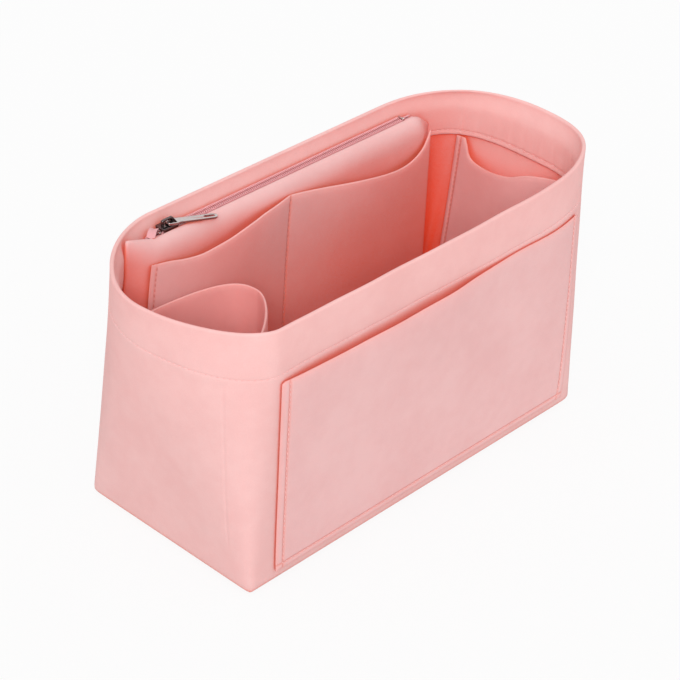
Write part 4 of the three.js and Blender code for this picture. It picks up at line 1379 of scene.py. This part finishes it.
class INSERT_OT_stitches(bpy.types.Operator):
    """Sews the hem, the pockets, the end wall and the base with rows of stitches"""
    bl_idname = "insert.stitches"
    bl_label = "Stitches"

    def execute(self, context):
        along = round_tub()
        z = np.full(along.shape, HEM_SEAM)
        stitched("hem_stitches", [wall_run(along, z, face) for face in (OUTER_FACE, HEM_FACE)])
        runs = []
        for place, low, high in upright_seams()[1:]:
            z = np.linspace(low, high, round((high - low) / GRID_STEP))
            runs.append(wall_run(np.full(z.shape, place), z, OUTER_FACE))
        stitched("end_wall_stitches", runs)
        grid = front_pocket_grid()
        stitched("front_pocket_stitches", grid_runs(grid, [front_pocket_line(grid[-1])]))
        grid = slip_grid()
        length, height = grid[-1]
        lines = upright_lines(height, (SLIP_SEAM_INSET / length, DIVIDER_SHARE))
        # These stitches inside the tub take the shaded copy of the thread colour: painted shade.
        stitched("slip_pocket_stitches", grid_runs(grid, lines), "inner_thread")
        grid = end_pocket_grid()
        length, height = grid[-1]
        inset = SLIP_SEAM_INSET / length
        lines = upright_lines(height, (inset, 1 - inset))
        # These stitches take the shaded copy of the thread colour: painted shade.
        stitched("end_pocket_stitches", grid_runs(grid, lines, flip=True), "inner_thread")
        self.base()
        return {"FINISHED"}

    def base(self):
        outline = sheet(round_tub(), 0, BASE_EDGE_DEPTH) * BASE_SEAM_SHARE
        runs = []
        for z, way in ((SEAM_DEPTH, -1), (BODY_FELT - SEAM_DEPTH, 1)):
            path = outline.copy()
            path[:, 2] = z
            runs.append((path, np.tile([0.0, 0.0, way], (len(path), 1))))
        stitched("base_stitches", runs)


class INSERT_OT_cuts(bpy.types.Operator):
    """A step that does nothing: it gives no sheet a cut size and says nothing of what holds it"""
    bl_idname = "insert.cuts"
    bl_label = "Cut sizes"

    def execute(self, context):
        return {"FINISHED"}


# The camera, found by fitting the tub's outline to the photograph.
CAMERA_AZIMUTH = math.radians(-47.099)
CAMERA_ELEVATION = math.radians(33.423)
CAMERA_ROLL = math.radians(2.224)
CAMERA_DISTANCE = 1.413251
CAMERA_RIGHT = 0.000653
CAMERA_UP = 0.062205
CAMERA_SENSOR = 36
CAMERA_LENS = 123.22

# The pale floor, which is white where it is seen and keeps a share of its shading, and the light.
FLOOR_HALF = 20
FLOOR_COLOUR = (0.75, 0.745, 0.745)
FLOOR_OWN_SHARE = 0.12
FLOOR_DROP = 0.0001
WHITE = (1, 1, 1, 1)
WORLD_LIGHT = 0.75
SUN_LIGHT = 1.75
SUN_ANGLE = math.radians(20)
SUN_RISE = math.radians(36)


def way_back(azimuth, elevation):
    """The direction from the middle towards something seen at an azimuth and elevation."""
    level = math.cos(elevation)
    return Vector((math.sin(azimuth) * level, -math.cos(azimuth) * level, math.sin(elevation)))


def camera_ways():
    """The camera's right, up and back directions."""
    back = way_back(CAMERA_AZIMUTH, CAMERA_ELEVATION)
    right = Vector((math.cos(CAMERA_AZIMUTH), math.sin(CAMERA_AZIMUTH), 0))
    up = back.cross(right)
    c, s = math.cos(CAMERA_ROLL), math.sin(CAMERA_ROLL)
    return c * right + s * up, -s * right + c * up, back


def seen_rays(tree, *kinds):
    """1 for a ray of one of these kinds, and 0 for any other."""
    rays = node(tree, "LightPath").outputs
    seen = rays[kinds[0]]
    for kind in kinds[1:]:
        seen = maths(tree, "MAXIMUM", seen, rays[kind])
    return seen


class INSERT_OT_stage(bpy.types.Operator):
    """Sets up the pale floor, the soft light and the camera"""
    bl_idname = "insert.stage"
    bl_label = "Stage"

    def execute(self, context):
        self.camera(context)
        self.floor()
        self.world(context)
        self.sun()
        context.scene.view_settings.view_transform = "Standard"
        return {"FINISHED"}

    def camera(self, context):
        right, up, back = camera_ways()
        data = bpy.data.cameras.new("camera")
        data.sensor_width = CAMERA_SENSOR
        data.lens = CAMERA_LENS
        data.clip_end = 2 * FLOOR_HALF
        camera = add_object("camera", data)
        place = right * CAMERA_RIGHT + up * CAMERA_UP + back * CAMERA_DISTANCE
        turned = Matrix((right, up, back)).transposed().to_4x4()
        camera.matrix_world = Matrix.Translation(place) @ turned
        context.scene.camera = camera

    def floor(self):
        mesh = bpy.data.meshes.new("floor")
        h = FLOOR_HALF
        mesh.from_pydata([(-h, -h, 0), (h, -h, 0), (h, h, 0), (-h, h, 0)], [], [(0, 1, 2, 3)])
        look, tree, shader = principled("floor", FLOOR_COLOUR)
        plug(tree, shader, {"Roughness": 1, "Specular IOR Level": 0})
        seen = seen_rays(tree, "Is Camera Ray", "Is Glossy Ray")
        amount = maths(tree, "MULTIPLY", seen, 1 - FLOOR_OWN_SHARE)
        glow = node(tree, "Emission", {"Color": WHITE})
        blend_shaders(tree, amount, shader, glow, "Material Output")
        mesh.materials.append(look)
        floor = add_object("floor", mesh)
        floor.location.z = -FLOOR_DROP

    def world(self, context):
        world = bpy.data.worlds.new("studio")
        world.use_nodes = True
        context.scene.world = world
        tree = world.node_tree
        light = tree.nodes["Background"]
        plug(tree, light, {"Color": WHITE, "Strength": WORLD_LIGHT})
        shown = node(tree, "Background", {"Color": WHITE})
        seen = seen_rays(tree, "Is Camera Ray", "Is Glossy Ray", "Is Transmission Ray")
        blend_shaders(tree, seen, light, shown, "World Output")

    def sun(self):
        data = bpy.data.lights.new("sun", "SUN")
        data.energy = SUN_LIGHT
        data.angle = SUN_ANGLE
        sun = add_object("sun", data)
        sun.rotation_mode = "QUATERNION"
        sun.rotation_quaternion = way_back(CAMERA_AZIMUTH, SUN_RISE).to_track_quat("Z", "Y")


STEPS = (
    INSERT_OT_body,
    INSERT_OT_base,
    INSERT_OT_front_pocket,
    INSERT_OT_pouch,
    INSERT_OT_slip_pockets,
    INSERT_OT_bottle_loop,
    INSERT_OT_end_pocket,
    INSERT_OT_zip,
    INSERT_OT_slider,
    INSERT_OT_stitches,
    INSERT_OT_cuts,
    INSERT_OT_stage,
)


class INSERT_PT_panel(bpy.types.Panel):
    """Lists the steps that build the insert, and its colours and sizes"""
    bl_idname = "INSERT_PT_panel"
    bl_label = "Purse organizer insert"
    bl_space_type = "VIEW_3D"
    bl_region_type = "UI"
    bl_category = "Insert"

    def draw(self, context):
        for group, names in ((colours(), COLOURS), (sizes(), SIZES)):
            for name in names:
                self.layout.prop(group, name)
        for step in STEPS:
            self.layout.operator(step.bl_idname)


CLASSES = (InsertColours, InsertSizes, *STEPS, INSERT_PT_panel)


def register():
    for item in CLASSES:
        bpy.utils.register_class(item)
    bpy.types.Scene.insert_colours = bpy.props.PointerProperty(type=InsertColours)
    bpy.types.Scene.insert_sizes = bpy.props.PointerProperty(type=InsertSizes)


def unregister():
    del bpy.types.Scene.insert_sizes
    del bpy.types.Scene.insert_colours
    for item in reversed(CLASSES):
        bpy.utils.unregister_class(item)


def main():
    register()
    for step in STEPS:
        group, name = step.bl_idname.split(".")
        getattr(getattr(bpy.ops, group), name)()
    bpy.context.view_layer.update()


if __name__ == "__main__":
    main()
